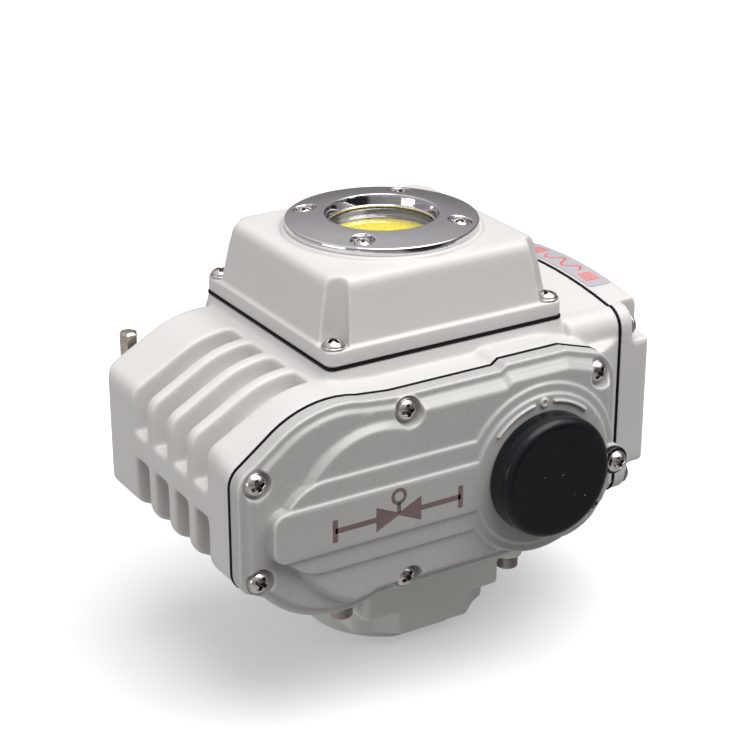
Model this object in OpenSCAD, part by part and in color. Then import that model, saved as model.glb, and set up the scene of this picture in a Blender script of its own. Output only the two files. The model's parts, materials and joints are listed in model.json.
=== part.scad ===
// Quarter-turn motorized valve actuator, 50 Nm class, with an ISO 5211 F05 base.
// Origin: centre of the bottom mounting face on the output axis. +Z up the
// output axis, gear cover towards -Y, cooling fins towards -X, terminal box
// towards +X. Millimetres.

/* [Body] */
// Left end of the motor chamber, distance from the output axis
body_left = 94; // [92:0.5:96]
// Distance from the output axis to the front joint face of the housing
front_y = 57; // [56:0.5:58]
// Distance from the output axis to the rear wall of the gearbox
rear_y = 40; // [39:0.5:42]
// Depth of the cooling slots, from the end wall
fin_slot_depth = 8; // [6:0.5:8.5]
// Width of each cooling slot
fin_slot_w = 9.8; // [8:0.1:10.5]
// Spacing of the cooling slots
fin_pitch = 15.35; // [14.5:0.05:15.6]

/* [Top cover] */
// Half size of the top cover's foot along X
cover_a = 48.6; // [47.5:0.1:49.5]
// Half size of the top cover's foot along Y
cover_b = 45.3; // [44.5:0.1:46]
// Height of the joint face under the top cover
joint_z = 122.5; // [121.5:0.5:123]
// Height of the top cover above its gasket
cover_h = 28.7; // [27.5:0.1:30]
// Outer radius of the window bezel
bezel_r = 35; // [34:0.5:36]
// Radius of the window opening
window_r = 20.4; // [19:0.1:21]

/* [Terminal box] */
// Joint face of the terminal box, distance from the output axis
seam_x = 71.4; // [71:0.1:72.5]
// Half width of the terminal box
term_b = 49.5; // [49:0.1:50.5]
// Radius of the cable hole through a gland
cable_r = 3.6; // [2.5:0.1:4.2]

/* [Output] */
// Side of the square socket that takes the valve stem
socket_af = 14; // [11:1:14]
// Depth of the square socket
socket_depth = 18; // [14:1:20]
// Bolt circle diameter of the base
base_pcd = 50; // [48:1:52]
// Radius of the tapped base holes
base_hole_r = 2.5; // [2.4:0.1:3]

/* [Gearing] */
// Gear module of the spur train
mod = 0.8; // [0.8:0.1:0.8]
// Teeth of the three spur pinions
pinion_t = 12; // [12:1:12]
// Teeth of the first and second spur gears
gear_t = 48; // [48:1:48]
// Teeth of the gear on the worm shaft
last_t = 60; // [60:1:60]
// Teeth of the worm wheel
wheel_t = 26; // [26:1:26]
// Module of the worm and worm wheel
worm_mod = 1.25; // [1.25:0.01:1.25]

/* [Override] */
// Outer radius of the rubber cap
cap_r = 22.7; // [21:0.1:23]
// Front face of the rubber cap, distance from the output axis
cap_front = 80; // [79:0.5:81]
// Size across the flats of the stored hex key
key_af = 6; // [5:1:6]

/* [Hidden] */
$fn = 64;

e = 0.01;
gask = 0.8;                    // gasket thickness
wx = 23.5; wz = 78.3;          // worm shaft axis
mx = -52; mz = 79.5;           // motor axis
i1x = -28.2; i1z = 76.4;       // first idler axis
// second idler: one gear distance from the first, one from the worm shaft
d12 = mod*(gear_t + pinion_t)/2;
d2w = mod*(last_t + pinion_t)/2;
d1w = sqrt(pow(wx - i1x, 2) + pow(wz - i1z, 2));
ta = (d12*d12 - d2w*d2w + d1w*d1w)/(2*d1w);
th = sqrt(d12*d12 - ta*ta);
ux = (wx - i1x)/d1w; uz = (wz - i1z)/d1w;
i2x = i1x + ta*ux - th*uz;
i2z = i1z + ta*uz + th*ux;
// gear faces along Y (front face of each level)
lev_a = [-62.4, -58.0];
lev_b = [-57.2, -52.6];
lev_c = [-51.8, -46.2];
slot_y = [for (i = [0:3]) -36.1 + fin_pitch*i];
fin_r = 39 - fin_slot_depth;
zs0 = 77.5; zs1 = 87.5;        // solid band between upper and lower cooling slots
top_z = joint_z + gask;
cov_z = top_z + cover_h;       // outside of the top cover's roof
gl_z = cov_z - 2.6;            // glass underside
f_rim = front_y + gask + 6;    // front of the gear cover's rim
f_low = f_rim + 1.4;           // lower field of the gear cover
f_main = f_rim + 4;            // main field
f_band = f_main + 1;
f_panel = f_main + 2;
gear_scr = [[-87.2, 98], [-86.8, 62], [-29.6, 111.4], [-29.6, 48.6], [50.6, 107.6], [50.2, 56.2]];
tab_x = 54; tab_z = 75.2;
top_scr = [for (sx = [-1, 1], sy = [-1, 1]) [44.3*sx, 40.8*sy]];
bez_scr = [for (k = [0:3]) [28.6*cos(45 + 90*k), 28.6*sin(45 + 90*k)]];
term_scr = [for (sy = [-1, 1], z = [53.5, 113.5]) [45*sy, z]];
base_scr = [for (sx = [-1, 1], sy = [-1, 1]) [36.6*sx, 31.6*sy]];

// ---- helpers ----
function arc(cx, cy, r, a0, a1, n) = [for (i = [0:n]) [cx + r*cos(a0 + (a1 - a0)*i/n), cy + r*sin(a0 + (a1 - a0)*i/n)]];
// extrude an (x, z) profile from y0 to y1
module ex_y(y0, y1) { translate([0, y1, 0]) rotate([90, 0, 0]) linear_extrude(y1 - y0) children(); }
// extrude a (y, z) profile from x0 to x1
module ex_x(x0, x1) { translate([x0, 0, 0]) rotate([90, 0, 90]) linear_extrude(x1 - x0) children(); }
module cyl_y(x, z, r, y0, y1) { translate([x, y1, z]) rotate([90, 0, 0]) cylinder(h = y1 - y0, r = r); }
module cyl_x(y, z, r, x0, x1) { translate([x0, y, z]) rotate([0, 90, 0]) cylinder(h = x1 - x0, r = r); }
module cyl_z(x, y, r, z0, z1) { translate([x, y, z0]) cylinder(h = z1 - z0, r = r); }
module box(a, b) { translate(a) cube(b - a); }
module rrect(a, b, r, n = 6) {
  polygon(concat(arc(a - r, b - r, r, 0, 90, n), arc(-a + r, b - r, r, 90, 180, n),
    arc(-a + r, -b + r, r, 180, 270, n), arc(a - r, -b + r, r, 270, 360, n)));
}
// outline of the gearbox, inset by g
function outline(g) = concat(
  arc(-85.6, 95.6, body_left - 85.6 - g, 180, 133, 4), arc(-55, 80.4, 39 - g, 131, 76, 10),
  [[-33, 117 - g], [9, 117 - g], [11.6, 118.9 - g], [37 - 0.3*g, 118.9 - g]],
  arc(45.5, 102.5, 13.5 - g, 62, 0, 7), arc(37, 66.5, 22 - g, 0, -90, 9),
  arc(-55, 80.4, 39 - g, -68, -140, 12), arc(-85.6, 64.4, body_left - 85.6 - g, 222, 180, 4));
// outline of the finned part, with a fuller shoulder
function fin_outline() = concat(
  arc(-87.2, 99.4, body_left - 87.2, 180, 128, 4), arc(-55, 80.4, 39, 118, 76, 8),
  [[-33, 117], [9, 117]], arc(34, 105, 12, 90, 0, 5), arc(34, 56.5, 12, 0, -90, 5),
  arc(-55, 80.4, 39, -68, -140, 12), arc(-85.6, 64.4, body_left - 85.6, 222, 180, 4));
// section of the terminal box, inset by g, in (y, z)
function term_sec(g) = concat(
  [for (i = [0:10]) let (y = 42 - 8.4*i) [y*(1 - g/60), 125.2 - 4.2*pow(y/42, 2) - g]],
  arc(-term_b + 8, 113.6, 8 - g, 100, 180, 5), arc(-term_b + 7, 54, 7 - g, 180, 270, 5),
  arc(term_b - 7, 54, 7 - g, 270, 360, 5), arc(term_b - 8, 113.6, 8 - g, 0, 80, 5));
// pan-head screw along -Z: head above z = 0, shank below
module pan_screw(hr, hh, sr, sl) {
  difference() {
    union() {
      rotate_extrude() polygon(concat([[0, 0], [hr, 0], [hr, 0.5*hh]],
        [for (i = [1:4]) [hr - hr*0.42*(1 - cos(22.5*i)), 0.5*hh + 0.5*hh*sin(22.5*i)]], [[0, hh]]));
      translate([0, 0, -sl]) cylinder(h = sl, r = sr);
    }
    translate([-0.27*hr*2, -0.45, hh*0.42]) cube([0.54*hr*2, 0.9, hh]);
    translate([-0.45, -0.27*hr*2, hh*0.42]) cube([0.9, 0.54*hr*2, hh]);
  }
}
// involute gear profile: z teeth, module m, addendum factor ad, flank thinning j
function inv(a) = tan(a)*180/PI - a;
function gear_pts(z, m, ad, j) = let (r = z*m/2, rb = r*cos(20), ra = r + ad*m, rr = r - 1.2*m,
    hb = 90/z - (j/(2*r))*180/PI + inv(20), rs = max(rb, rr))
  [for (k = [0:z - 1]) each let (c = 360*k/z, st = [for (i = [0:4]) rs + (ra - rs)*i/4])
    concat([[rr, c - hb]], [for (q = st) [q, c - hb + inv(acos(min(1, rb/q)))]],
      [for (i = [4:-1:0]) [st[i], c + hb - inv(acos(min(1, rb/st[i])))]], [[rr, c + hb]])];
module gear2d(z, m, ad, j, ph) {
  polygon([for (p = gear_pts(z, m, ad, j)) [p[0]*cos(p[1] + ph), p[0]*sin(p[1] + ph)]]);
}
// phase of gear 2 so that it meshes with gear 1 of phase p1, across direction th
function mesh(th, n1, p1, n2) = th + 180 - (360/n2)*(0.5 - n1*(th - p1)/360);
th_m1 = atan2(i1z - mz, i1x - mx);
th_12 = atan2(i2z - i1z, i2x - i1x);
th_2w = atan2(wz - i2z, wx - i2x);
ph_m = 0;
ph_i1g = mesh(th_m1, pinion_t, ph_m, gear_t);
ph_i1p = 0;
ph_i2g = mesh(th_12, pinion_t, ph_i1p, gear_t);
ph_i2p = 0;
ph_wg = mesh(th_2w, pinion_t, ph_i2p, last_t);

// ---- housing ----
module main_housing() color([0.88, 0.87, 0.85]) difference() {
  union() {
    difference() {
      union() {
        ex_y(-front_y + 10, rear_y) polygon(fin_outline());
        ex_y(-front_y, -front_y + 10.01) polygon(outline(0));
        // shoulder that runs from the finned part to the joint face
        hull() {
          ex_y(-front_y + 9.9, -front_y + 10) intersection() { polygon(fin_outline()); translate([-100, 60]) square([55, 70]); }
          ex_y(-front_y + 0.02, -front_y + 0.1) intersection() { polygon(outline(0)); translate([-100, 60]) square([55, 70]); }
        }
      }
      // rounded rear left edge
      difference() {
        box([-100, rear_y - 6, 30], [-body_left + 6, rear_y + 5, 130]);
        cyl_z(-body_left + 6, rear_y - 6, 6, 20, 140);
      }
      // cooling slots
      for (y = slot_y) ex_y(y - fin_slot_w/2, y + fin_slot_w/2) difference() {
        union() {
          polygon([[-101, zs1], [-54.6, zs1], [-54.6, 125], [-101, 125]]);
          polygon([[-101, zs0], [-62, zs0], [-62, 35], [-101, 35]]);
        }
        translate([-55, 80.4]) circle(r = fin_r, $fn = 96);
      }
    }
    // terminal box and its front blend
    ex_x(49.4, seam_x) polygon(term_sec(0));
    translate([0, 0, 52]) linear_extrude(59) polygon([[44, -48], [58.6, -front_y + 0.5], [seam_x, -term_b + 0.2], [seam_x, -40], [44, -40]]);
    // pedestal of the top cover
    hull() {
      translate([0, 0, joint_z - 0.1]) linear_extrude(0.1) rrect(cover_a, cover_b, 3);
      translate([0, 0, 110]) linear_extrude(0.1) rrect(cover_a + 3.4, cover_b + 2.6, 5);
    }
    // foot for the base block
    translate([0, 0, 42.5]) linear_extrude(8) rrect(43, 39, 6);
  }
  // gear chamber
  ex_y(-front_y - 1, -44) polygon(outline(6));
  // motor and worm chamber
  ex_y(-38, rear_y - 6) union() { translate([-52, 80]) circle(r = 28, $fn = 96); polygon([[-52, 52], [44, 52], [44, 108], [-52, 108]]); }
  // opening under the top cover
  translate([0, 0, 100]) linear_extrude(30) rrect(40, 35.5, 5);
  // terminal compartment
  ex_x(52, seam_x + 1) polygon([[-42, 55], [-40, 53], [41, 53], [43, 55], [43, 113], [40, 116], [-39, 116], [-42, 113]]);
  cyl_x(24, 98, 6, 40, 56);
  // output bore
  cyl_z(0, 0, 18, 40, 60);
  // partition: motor boss, idler pin holes, worm bearing seat
  cyl_y(mx, mz, 11, -45, -37);
  cyl_y(i1x, i1z, 3, -45, -39.5);
  cyl_y(i2x, i2z, 3, -45, -39.5);
  cyl_y(wx, wz, 11, -45, -37);
  // rear bearing pocket for the worm shaft
  cyl_y(wx, wz, 8, rear_y - 7, rear_y - 2);
  // screw holes
  for (p = top_scr) cyl_z(p[0], p[1], 1.9, joint_z - 11, joint_z + 1);
  for (p = gear_scr) cyl_y(p[0], p[1], 1.9, -front_y - 1, -front_y + 9);
  cyl_y(tab_x, tab_z, 1.4, -front_y - 1, -front_y + 4);
  for (p = term_scr) cyl_x(p[0], p[1], 1.9, seam_x - 10, seam_x + 1);
  for (p = base_scr) cyl_z(p[0], p[1], 2.5, 40, 50.6);
  // cable gland holes
  for (z = [70, 98]) cyl_y(62, z, 8, 40, 55);
  // motor fixing holes in the partition
  for (k = [0:2]) cyl_y(mx + 20.5*cos(90 + 120*k), mz + 20.5*sin(90 + 120*k), 1.5, -44.5, -37);
}

// ---- top cover ----
module top_cover() color([0.9, 0.89, 0.87]) difference() {
  union() {
    translate([0, 0, top_z]) linear_extrude(6) rrect(cover_a, cover_b, 3.2);
    difference() {
      hull() {
        translate([0, 0, top_z + 5.9]) linear_extrude(0.1) rrect(cover_a - 1.5, cover_b - 1.5, 4);
        translate([0, 0, cov_z - 3.2]) linear_extrude(0.1) rrect(cover_a - 5.2, cover_b - 5.3, 5);
        translate([0, 0, cov_z - 1]) linear_extrude(0.1) rrect(cover_a - 6.6, cover_b - 6.7, 5);
        translate([0, 0, cov_z - 0.1]) linear_extrude(0.1) rrect(cover_a - 8.8, cover_b - 8.9, 5);
      }
      // screw grooves in the corners, leaning with the walls
      for (p = top_scr) {
        translate([p[0]*1.004, p[1]*1.004, top_z + 6]) cylinder(h = 40, r = 5.1);
        translate([p[0]*1.004, p[1]*1.004, top_z + 6.7]) rotate([sign(p[1])*4.9, -sign(p[0])*4.9, 0]) cylinder(h = 40, r = 5.1);
      }
    }
    cyl_z(0, 0, bezel_r + 1.6, cov_z - 2, cov_z + 1.3);
  }
  // hollow inside, kept clear of the corner grooves
  difference() {
    hull() {
      translate([0, 0, top_z - 1]) linear_extrude(0.1) rrect(cover_a - 4.6, cover_b - 4.6, 4);
      translate([0, 0, cov_z - 6]) linear_extrude(0.1) rrect(cover_a - 8.6, cover_b - 8.6, 5);
    }
    for (p = top_scr) {
      cyl_z(p[0], p[1], 8.2, top_z - 2, cov_z);
      translate([p[0], p[1], top_z + 6.7]) rotate([sign(p[1])*4.9, -sign(p[0])*4.9, 0]) cylinder(h = 40, r = 7.9);
    }
    cyl_z(0, 0, 33, cov_z - 6.6, cov_z);
  }
  for (p = top_scr) cyl_z(p[0], p[1], 2.15, top_z - 1, top_z + 7);
  // window well and counterbore for the glass
  cyl_z(0, 0, 21.6, cov_z - 9, cov_z + 2);
  cyl_z(0, 0, 25.6, gl_z - 0.8, cov_z + 2);
  for (p = bez_scr) cyl_z(p[0], p[1], 1.65, cov_z - 5, cov_z + 2);
}
module top_cover_gasket() color([0.06, 0.05, 0.06]) difference() {
  translate([0, 0, joint_z]) linear_extrude(gask) rrect(cover_a + 0.25, cover_b + 0.25, 3.2);
  translate([0, 0, joint_z - 1]) linear_extrude(3) rrect(40, 35.5, 5);
  for (p = top_scr) cyl_z(p[0], p[1], 2.15, joint_z - 1, joint_z + 2);
}
module top_cover_screws() color([0.8, 0.78, 0.76])
  for (p = top_scr) translate([p[0], p[1], top_z + 6]) rotate(p[0]*3) pan_screw(4.1, 3, 1.85, 17);

// ---- window ----
module window_bezel() color([0.82, 0.83, 0.85]) difference() {
  rotate_extrude($fn = 128) polygon([[window_r + 0.4, cov_z + 1.3], [bezel_r, cov_z + 1.3], [bezel_r, cov_z + 3.7],
    [bezel_r - 0.5, cov_z + 4.2], [23.2, cov_z + 6], [window_r + 0.3, cov_z + 6], [window_r, cov_z + 5.7], [window_r, cov_z + 1.8]]);
  for (p = bez_scr) { cyl_z(p[0], p[1], 4.3, cov_z + 3, cov_z + 8); cyl_z(p[0], p[1], 2, cov_z, cov_z + 8); }
}
module window_seal() color([0.05, 0.05, 0.05]) difference() {
  cyl_z(0, 0, 25.3, gl_z - 0.8, gl_z);
  cyl_z(0, 0, 22, gl_z - 2, gl_z + 2);
}
module window_glass() color([0.8, 0.9, 0.9, 0.4]) cyl_z(0, 0, 25.3, gl_z, cov_z + 1.25);
module bezel_screws() color([0.8, 0.78, 0.76])
  for (p = bez_scr) translate([p[0], p[1], cov_z + 3]) rotate(p[0] + p[1]*2) pan_screw(3.5, 2.4, 1.6, 7);

// ---- gear cover ----
module gear_cover_gasket() color([0.06, 0.05, 0.06]) difference() {
  ex_y(-front_y - gask, -front_y) difference() { polygon(outline(-0.2)); polygon(outline(6)); }
  for (p = gear_scr) cyl_y(p[0], p[1], 2.1, -front_y - 2, -front_y + 1);
  cyl_y(tab_x, tab_z, 1.6, -front_y - 2, -front_y + 1);
}
module gear_cover() color([0.74, 0.73, 0.71]) difference() {
  union() {
    ex_y(-f_rim, -front_y - gask) polygon(outline(0));
    for (i = [0:1]) ex_y(-f_rim - 0.7*(i + 1), -f_rim) polygon(outline(2.8 + 0.7*i));
    for (i = [0:3]) ex_y(-f_low - 0.65*(i + 1), -f_rim) intersection() {
      polygon(outline(3.6 + 0.55*i));
      union() {
        translate([-42.5, 77]) circle(r = 33 - 0.55*i, $fn = 96);
        translate([-29.6, 20]) square([110, 110]);
      }
    }
    // raised band and panel behind the hand-override boss
    ex_y(-f_band, -f_rim) polygon(concat(arc(-64, 78.3, 17, 90, 270, 14), [[0, 61.3], [0, 95.3]]));
    ex_y(-f_panel, -f_rim) polygon(concat([[0, 87.6], [-74, 87.6]], arc(-79, 82.6, 5, 90, 180, 4),
      arc(-79, 74, 5, 180, 270, 4), [[0, 69]]));
    // stepped round boss of the hand override
    cyl_y(wx, wz, 32.2, -f_main - 1.1, -f_rim);
    cyl_y(wx, wz, 28.6, -f_main - 2.2, -f_rim);
    cyl_y(wx, wz, 16.8, -f_main - 7.4, -f_rim);
    // direction marks on the boss: two arcs, an arrow head and a dot
    ex_y(-f_main - 2.7, -f_rim) for (a = [[99, 139], [47, 82]]) polygon(concat(
      arc(wx, wz, 26.4, a[0], a[1], 10), arc(wx, wz, 25.5, a[1], a[0], 10)));
    cyl_y(wx + 26*cos(91), wz + 26*sin(91), 1.6, -f_main - 2.7, -f_rim);
    // screw bosses
    for (p = [[-29.6, 111.4], [-29.6, 48.6]]) cyl_y(p[0], p[1], 5.6, -f_rim - 1.2, -f_rim);
    // ear under the strap tab of the cap
    ex_y(-f_main - 2.2, -front_y - gask) translate([tab_x, tab_z]) circle(r = 5.4);
  }
  // inside of the cover, with the metal under the screw heads left in
  difference() {
    union() {
      ex_y(-f_rim + 1.4, -front_y) polygon(outline(7));
      ex_y(-f_main + 2.6, -front_y) intersection() {
        polygon(outline(9));
        union() { translate([-42.5, 77]) circle(r = 28, $fn = 96); translate([-26, 20]) square([110, 110]); }
      }
    }
    for (p = gear_scr) cyl_y(p[0], p[1], 6.8, -f_main - 1, -f_rim + 2.4);
  }
  // passage for the worm shaft end and the hand key
  cyl_y(wx, wz, 11.2, -f_main - 10, -front_y);
  // counterbored screw holes, open to the outline
  for (p = gear_scr) {
    cyl_y(p[0], p[1], 2.1, -f_main - 9, -front_y);
    cyl_y(p[0], p[1], 5, -f_main - 9, -f_rim + 0.6);
  }
  cyl_y(tab_x, tab_z, 1.6, -f_main - 4, -front_y);
}
module gear_cover_screws() color([0.8, 0.78, 0.76])
  for (p = gear_scr) translate([p[0], -f_rim + 0.6, p[1]]) rotate([90, 0, 0]) rotate(p[0]*5 + p[1]) pan_screw(4.1, 3, 1.85, 13);

// ---- terminal box cover ----
module terminal_cover_gasket() color([0.06, 0.05, 0.06]) difference() {
  ex_x(seam_x, seam_x + gask) difference() { polygon(term_sec(-0.2)); polygon([[-42, 53], [43, 53], [43, 116], [-42, 116]]); }
  for (p = term_scr) cyl_x(p[0], p[1], 2.1, seam_x - 1, seam_x + 2);
}
module terminal_cover() color([0.84, 0.83, 0.81]) difference() {
  union() {
    ex_x(seam_x + gask, seam_x + gask + 7) polygon(term_sec(0));
    for (i = [0:2]) ex_x(seam_x + gask + 6, seam_x + gask + 14.2 - 0.7*i) polygon(term_sec([2, 0.8, 0][i]));
  }
  // corner pockets for the screws
  for (p = term_scr) {
    cyl_x(p[0], p[1], 5, seam_x + gask + 6, 100);
    ex_x(seam_x + gask + 6, 100) translate([p[0], p[1]]) rotate(p[1] > 80 ? (p[0] > 0 ? 0 : 90) : (p[0] > 0 ? 270 : 180)) translate([0, -5]) square([12, 17]);
    ex_x(seam_x + gask + 6, 100) translate([p[0], p[1]]) rotate(p[1] > 80 ? (p[0] > 0 ? 0 : 90) : (p[0] > 0 ? 270 : 180)) translate([-5, 0]) square([17, 12]);
    cyl_x(p[0], p[1], 2.1, seam_x, 100);
  }
  // hollow inside
  ex_x(seam_x, seam_x + gask + 10.4) polygon([[-41, 60], [-37, 56], [37, 56], [41, 60], [41, 107], [36, 112], [-36, 112], [-41, 107]]);
}
module terminal_cover_screws() color([0.8, 0.78, 0.76])
  for (p = term_scr) translate([seam_x + gask + 6, p[0], p[1]]) rotate([0, 90, 0]) rotate(p[0] + p[1]) pan_screw(4.1, 3, 1.85, 14);
module voltage_label() color([0.82, 0.81, 0.88])
  ex_x(seam_x + 2.2, seam_x + 12.4) polygon(concat(
    [for (i = [0:10]) let (y = 20 - 4.8*i) [y, 125.2 - 4.2*pow(y/42, 2) + 0.02]],
    [for (i = [10:-1:0]) let (y = 20 - 4.8*i) [y, 125.2 - 4.2*pow(y/42, 2) + 0.16]]));

// ---- base ----
module base_block() color([0.6, 0.62, 0.6]) difference() {
  union() {
    // round flange with a flat at the front and one at the back
    linear_extrude(12.5) intersection() {
      circle(r = 30.5, $fn = 96);
      square([70, 56.6], center = true);
    }
    // step above it, with a pad at the front and back level with the block
    translate([0, 0, 6.4]) linear_extrude(10.6) polygon([for (q = [[1, -1], [1, 1], [-1, 1], [-1, -1]]) for (p =
      (q[0]*q[1] < 0 ? [[14.7, 37], [22, 31], [27, 28.3], [29, 26]] : [[29, 26], [27, 28.3], [22, 31], [14.7, 37]])) [q[0]*p[0], q[1]*p[1]]]);
    translate([0, 0, 15.8]) linear_extrude(26.7) rrect(29.8, 37, 3);
    for (p = base_scr) cyl_z(p[0], p[1], 5.8, 24, 42.5);
    translate([0, 0, 25]) linear_extrude(17.5) rrect(41, 36, 6);
  }
  // spigot recess, shaft bore and bush seat
  cyl_z(0, 0, 17.6, -1, 3);
  cyl_z(0, 0, 15.3, -1, 50);
  cyl_z(0, 0, 18, 24, 50);
  for (k = [0:3]) cyl_z(base_pcd/2*cos(45 + 90*k), base_pcd/2*sin(45 + 90*k), base_hole_r, -1, 10);
  for (p = base_scr) { cyl_z(p[0], p[1], 2.75, 10, 50); cyl_z(p[0], p[1], 5.1, 10, 24.01); }
}
module base_screws() color([0.45, 0.4, 0.4]) for (p = base_scr) translate([p[0], p[1], 0]) difference() {
  union() { cyl_z(0, 0, 4.25, 19, 24); cyl_z(0, 0, 2.45, 24, 50); }
  translate([0, 0, 18]) cylinder(h = 3.6, r = 2.3, $fn = 6);
}
module base_oring() color([0.05, 0.05, 0.05]) translate([0, 0, 21.2]) rotate_extrude() polygon([[15.08, 0], [15.28, 0], [15.28, 1.6], [15.08, 1.6]]);
module lower_bush() color([0.72, 0.56, 0.3]) difference() {
  cyl_z(0, 0, 18, 24.2, 40);
  cyl_z(0, 0, 15.05, 20, 60);
}
module upper_bush() color([0.72, 0.56, 0.3]) difference() {
  cyl_z(0, 0, 18, 44, 59.8);
  cyl_z(0, 0, 15.05, 20, 70);
}

// ---- output ----
module output_shaft() color([0.55, 0.55, 0.56]) difference() {
  union() {
    cyl_z(0, 0, 15, 3.4, 62);
    cyl_z(0, 0, 10, 61, 96);
    cyl_z(0, 0, 6, 95, cov_z - 8.2);
    cyl_z(0, 0, 3, cov_z - 9, cov_z - 6.4);
  }
  translate([-socket_af/2, -socket_af/2, 3]) cube([socket_af, socket_af, socket_depth]);
  box([8.2, -2, 70], [11, 2, 87]);
}
module worm_wheel() color([0.76, 0.6, 0.32]) difference() {
  union() {
    translate([0, 0, wz - 3.5]) linear_extrude(7) gear2d(wheel_t, worm_mod, 0.75, 0.5, 0);
    cyl_z(0, 0, 13, wz - 8, wz + 8);
  }
  cyl_z(0, 0, 10, 60, 100);
  box([9, -2, 60], [11.6, 2, 100]);
}
module wheel_key() color([0.5, 0.5, 0.52]) box([8.2, -1.98, 70.1], [11.5, 1.98, 86.9]);
module limit_cams() color([0.9, 0.88, 0.82]) difference() {
  union() {
    cyl_z(0, 0, 11, 104, 108.6);
    cyl_z(0, 0, 11, 110, 114.6);
    cyl_z(0, 0, 8.5, 108, 111);
    translate([0, 0, 104]) linear_extrude(4.6) polygon(concat([[0, 0]], arc(0, 0, 12.6, 200, 240, 6)));
    translate([0, 0, 110]) linear_extrude(4.6) polygon(concat([[0, 0]], arc(0, 0, 12.6, 10, 50, 6)));
  }
  cyl_z(0, 0, 6, 100, 120);
}
module indicator_disc() color([0.93, 0.78, 0.1]) difference() {
  union() { cyl_z(0, 0, 20.5, cov_z - 8.2, cov_z - 6.4); cyl_z(0, 0, 8.6, cov_z - 14, cov_z - 8); }
  cyl_z(0, 0, 6, cov_z - 20, cov_z - 8.2);
  cyl_z(0, 0, 3, cov_z - 20, cov_z);
}
module indicator_pointer() color([0.75, 0.1, 0.16]) translate([0, 0, cov_z - 6.4]) linear_extrude(0.6)
  polygon([[-18.6, 2.6], [-19.4, -0.2], [-18, -3.2], [4, -4.6], [7, 1], [3, 4.2]]);

// ---- worm shaft ----
w_root = 5.9; w_tip = 8.15; w_lead = PI*worm_mod; w_len = 25; w_y0 = -12.5;
w_n = 22; w_turns = 6;
// thread profile half widths at root and tip; mesh phase places a thread gap at a wheel tooth
w_hr = 1.1; w_ht = 0.45;
function w_pt(i, r, dy) = let (a = 360*i/w_n) [r*cos(a), w_lead*(-a/360) + dy, r*sin(a)];
module thread() {
  n = w_n*w_turns;
  pts = [for (i = [0:n]) each [w_pt(i, w_root - 0.5, -w_hr - 0.15), w_pt(i, w_tip, -w_ht), w_pt(i, w_tip, w_ht), w_pt(i, w_root - 0.5, w_hr + 0.15)]];
  fs = concat([[0, 1, 2, 3]], [for (i = [0:n - 1], k = [0:3]) let (a = 4*i + k, b = 4*i + (k + 1)%4) [a, a + 4, b + 4, b]], [[4*n + 3, 4*n + 2, 4*n + 1, 4*n]]);
  polyhedron(points = pts, faces = fs);
}
module worm() color([0.6, 0.6, 0.62]) difference() {
  union() {
    translate([wx, w_lead*w_turns/2, wz]) thread();
    cyl_y(wx, wz, w_root, w_y0, w_y0 + w_len);
  }
  cyl_y(wx, wz, 4.5, -40, 40);
}
module worm_shaft() color([0.62, 0.62, 0.64]) difference() {
  union() {
    cyl_y(wx, wz, 4.5, -66, rear_y - 2.4);
    cyl_y(wx, wz, 6.2, -73.2, -62);
    cyl_y(wx, wz, 6, -62.1, -59);
  }
  translate([wx, -63, wz]) rotate([90, 0, 0]) cylinder(h = 20, r = 6.2/sqrt(3), $fn = 6);
}
module worm_gear() color([0.66, 0.66, 0.68]) difference() {
  union() {
    translate([wx, 0, wz]) ex_y(lev_c[0], lev_c[1]) gear2d(last_t, mod, 0.7, 0.16, ph_wg);
    cyl_y(wx, wz, 8, lev_c[0] - 2.6, lev_c[1]);
  }
  cyl_y(wx, wz, 4.5, -60, -40);
}
module ring_y(x, z, ri, ro, y0, y1) { difference() { cyl_y(x, z, ro, y0, y1); cyl_y(x, z, ri, y0 - 1, y1 + 1); } }
module worm_bearings() color([0.7, 0.7, 0.72]) {
  ring_y(wx, wz, 4.53, 11, -44, -38);
  ring_y(wx, wz, 4.53, 8, rear_y - 6.9, rear_y - 2.1);
}

// ---- idlers ----
module idler_pins() color([0.6, 0.6, 0.62]) {
  cyl_y(i1x, i1z, 2.95, -63, -39.6);
  cyl_y(i2x, i2z, 2.95, -59, -39.6);
}
module idler_gear_1() color([0.66, 0.66, 0.68]) difference() {
  union() {
    translate([i1x, 0, i1z]) ex_y(lev_a[0], lev_a[1]) gear2d(gear_t, mod, 0.7, 0.16, ph_i1g);
    translate([i1x, 0, i1z]) ex_y(lev_a[0], lev_b[1]) gear2d(pinion_t, mod, 0.8, 0.16, ph_i1p);
  }
  cyl_y(i1x, i1z, 3, -70, -40);
}
module idler_gear_2() color([0.66, 0.66, 0.68]) difference() {
  union() {
    translate([i2x, 0, i2z]) ex_y(lev_b[0], lev_b[1]) gear2d(gear_t, mod, 0.7, 0.16, ph_i2g);
    translate([i2x, 0, i2z]) ex_y(lev_b[0], lev_c[1]) gear2d(pinion_t, mod, 0.8, 0.16, ph_i2p);
  }
  cyl_y(i2x, i2z, 3, -70, -40);
}

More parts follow.
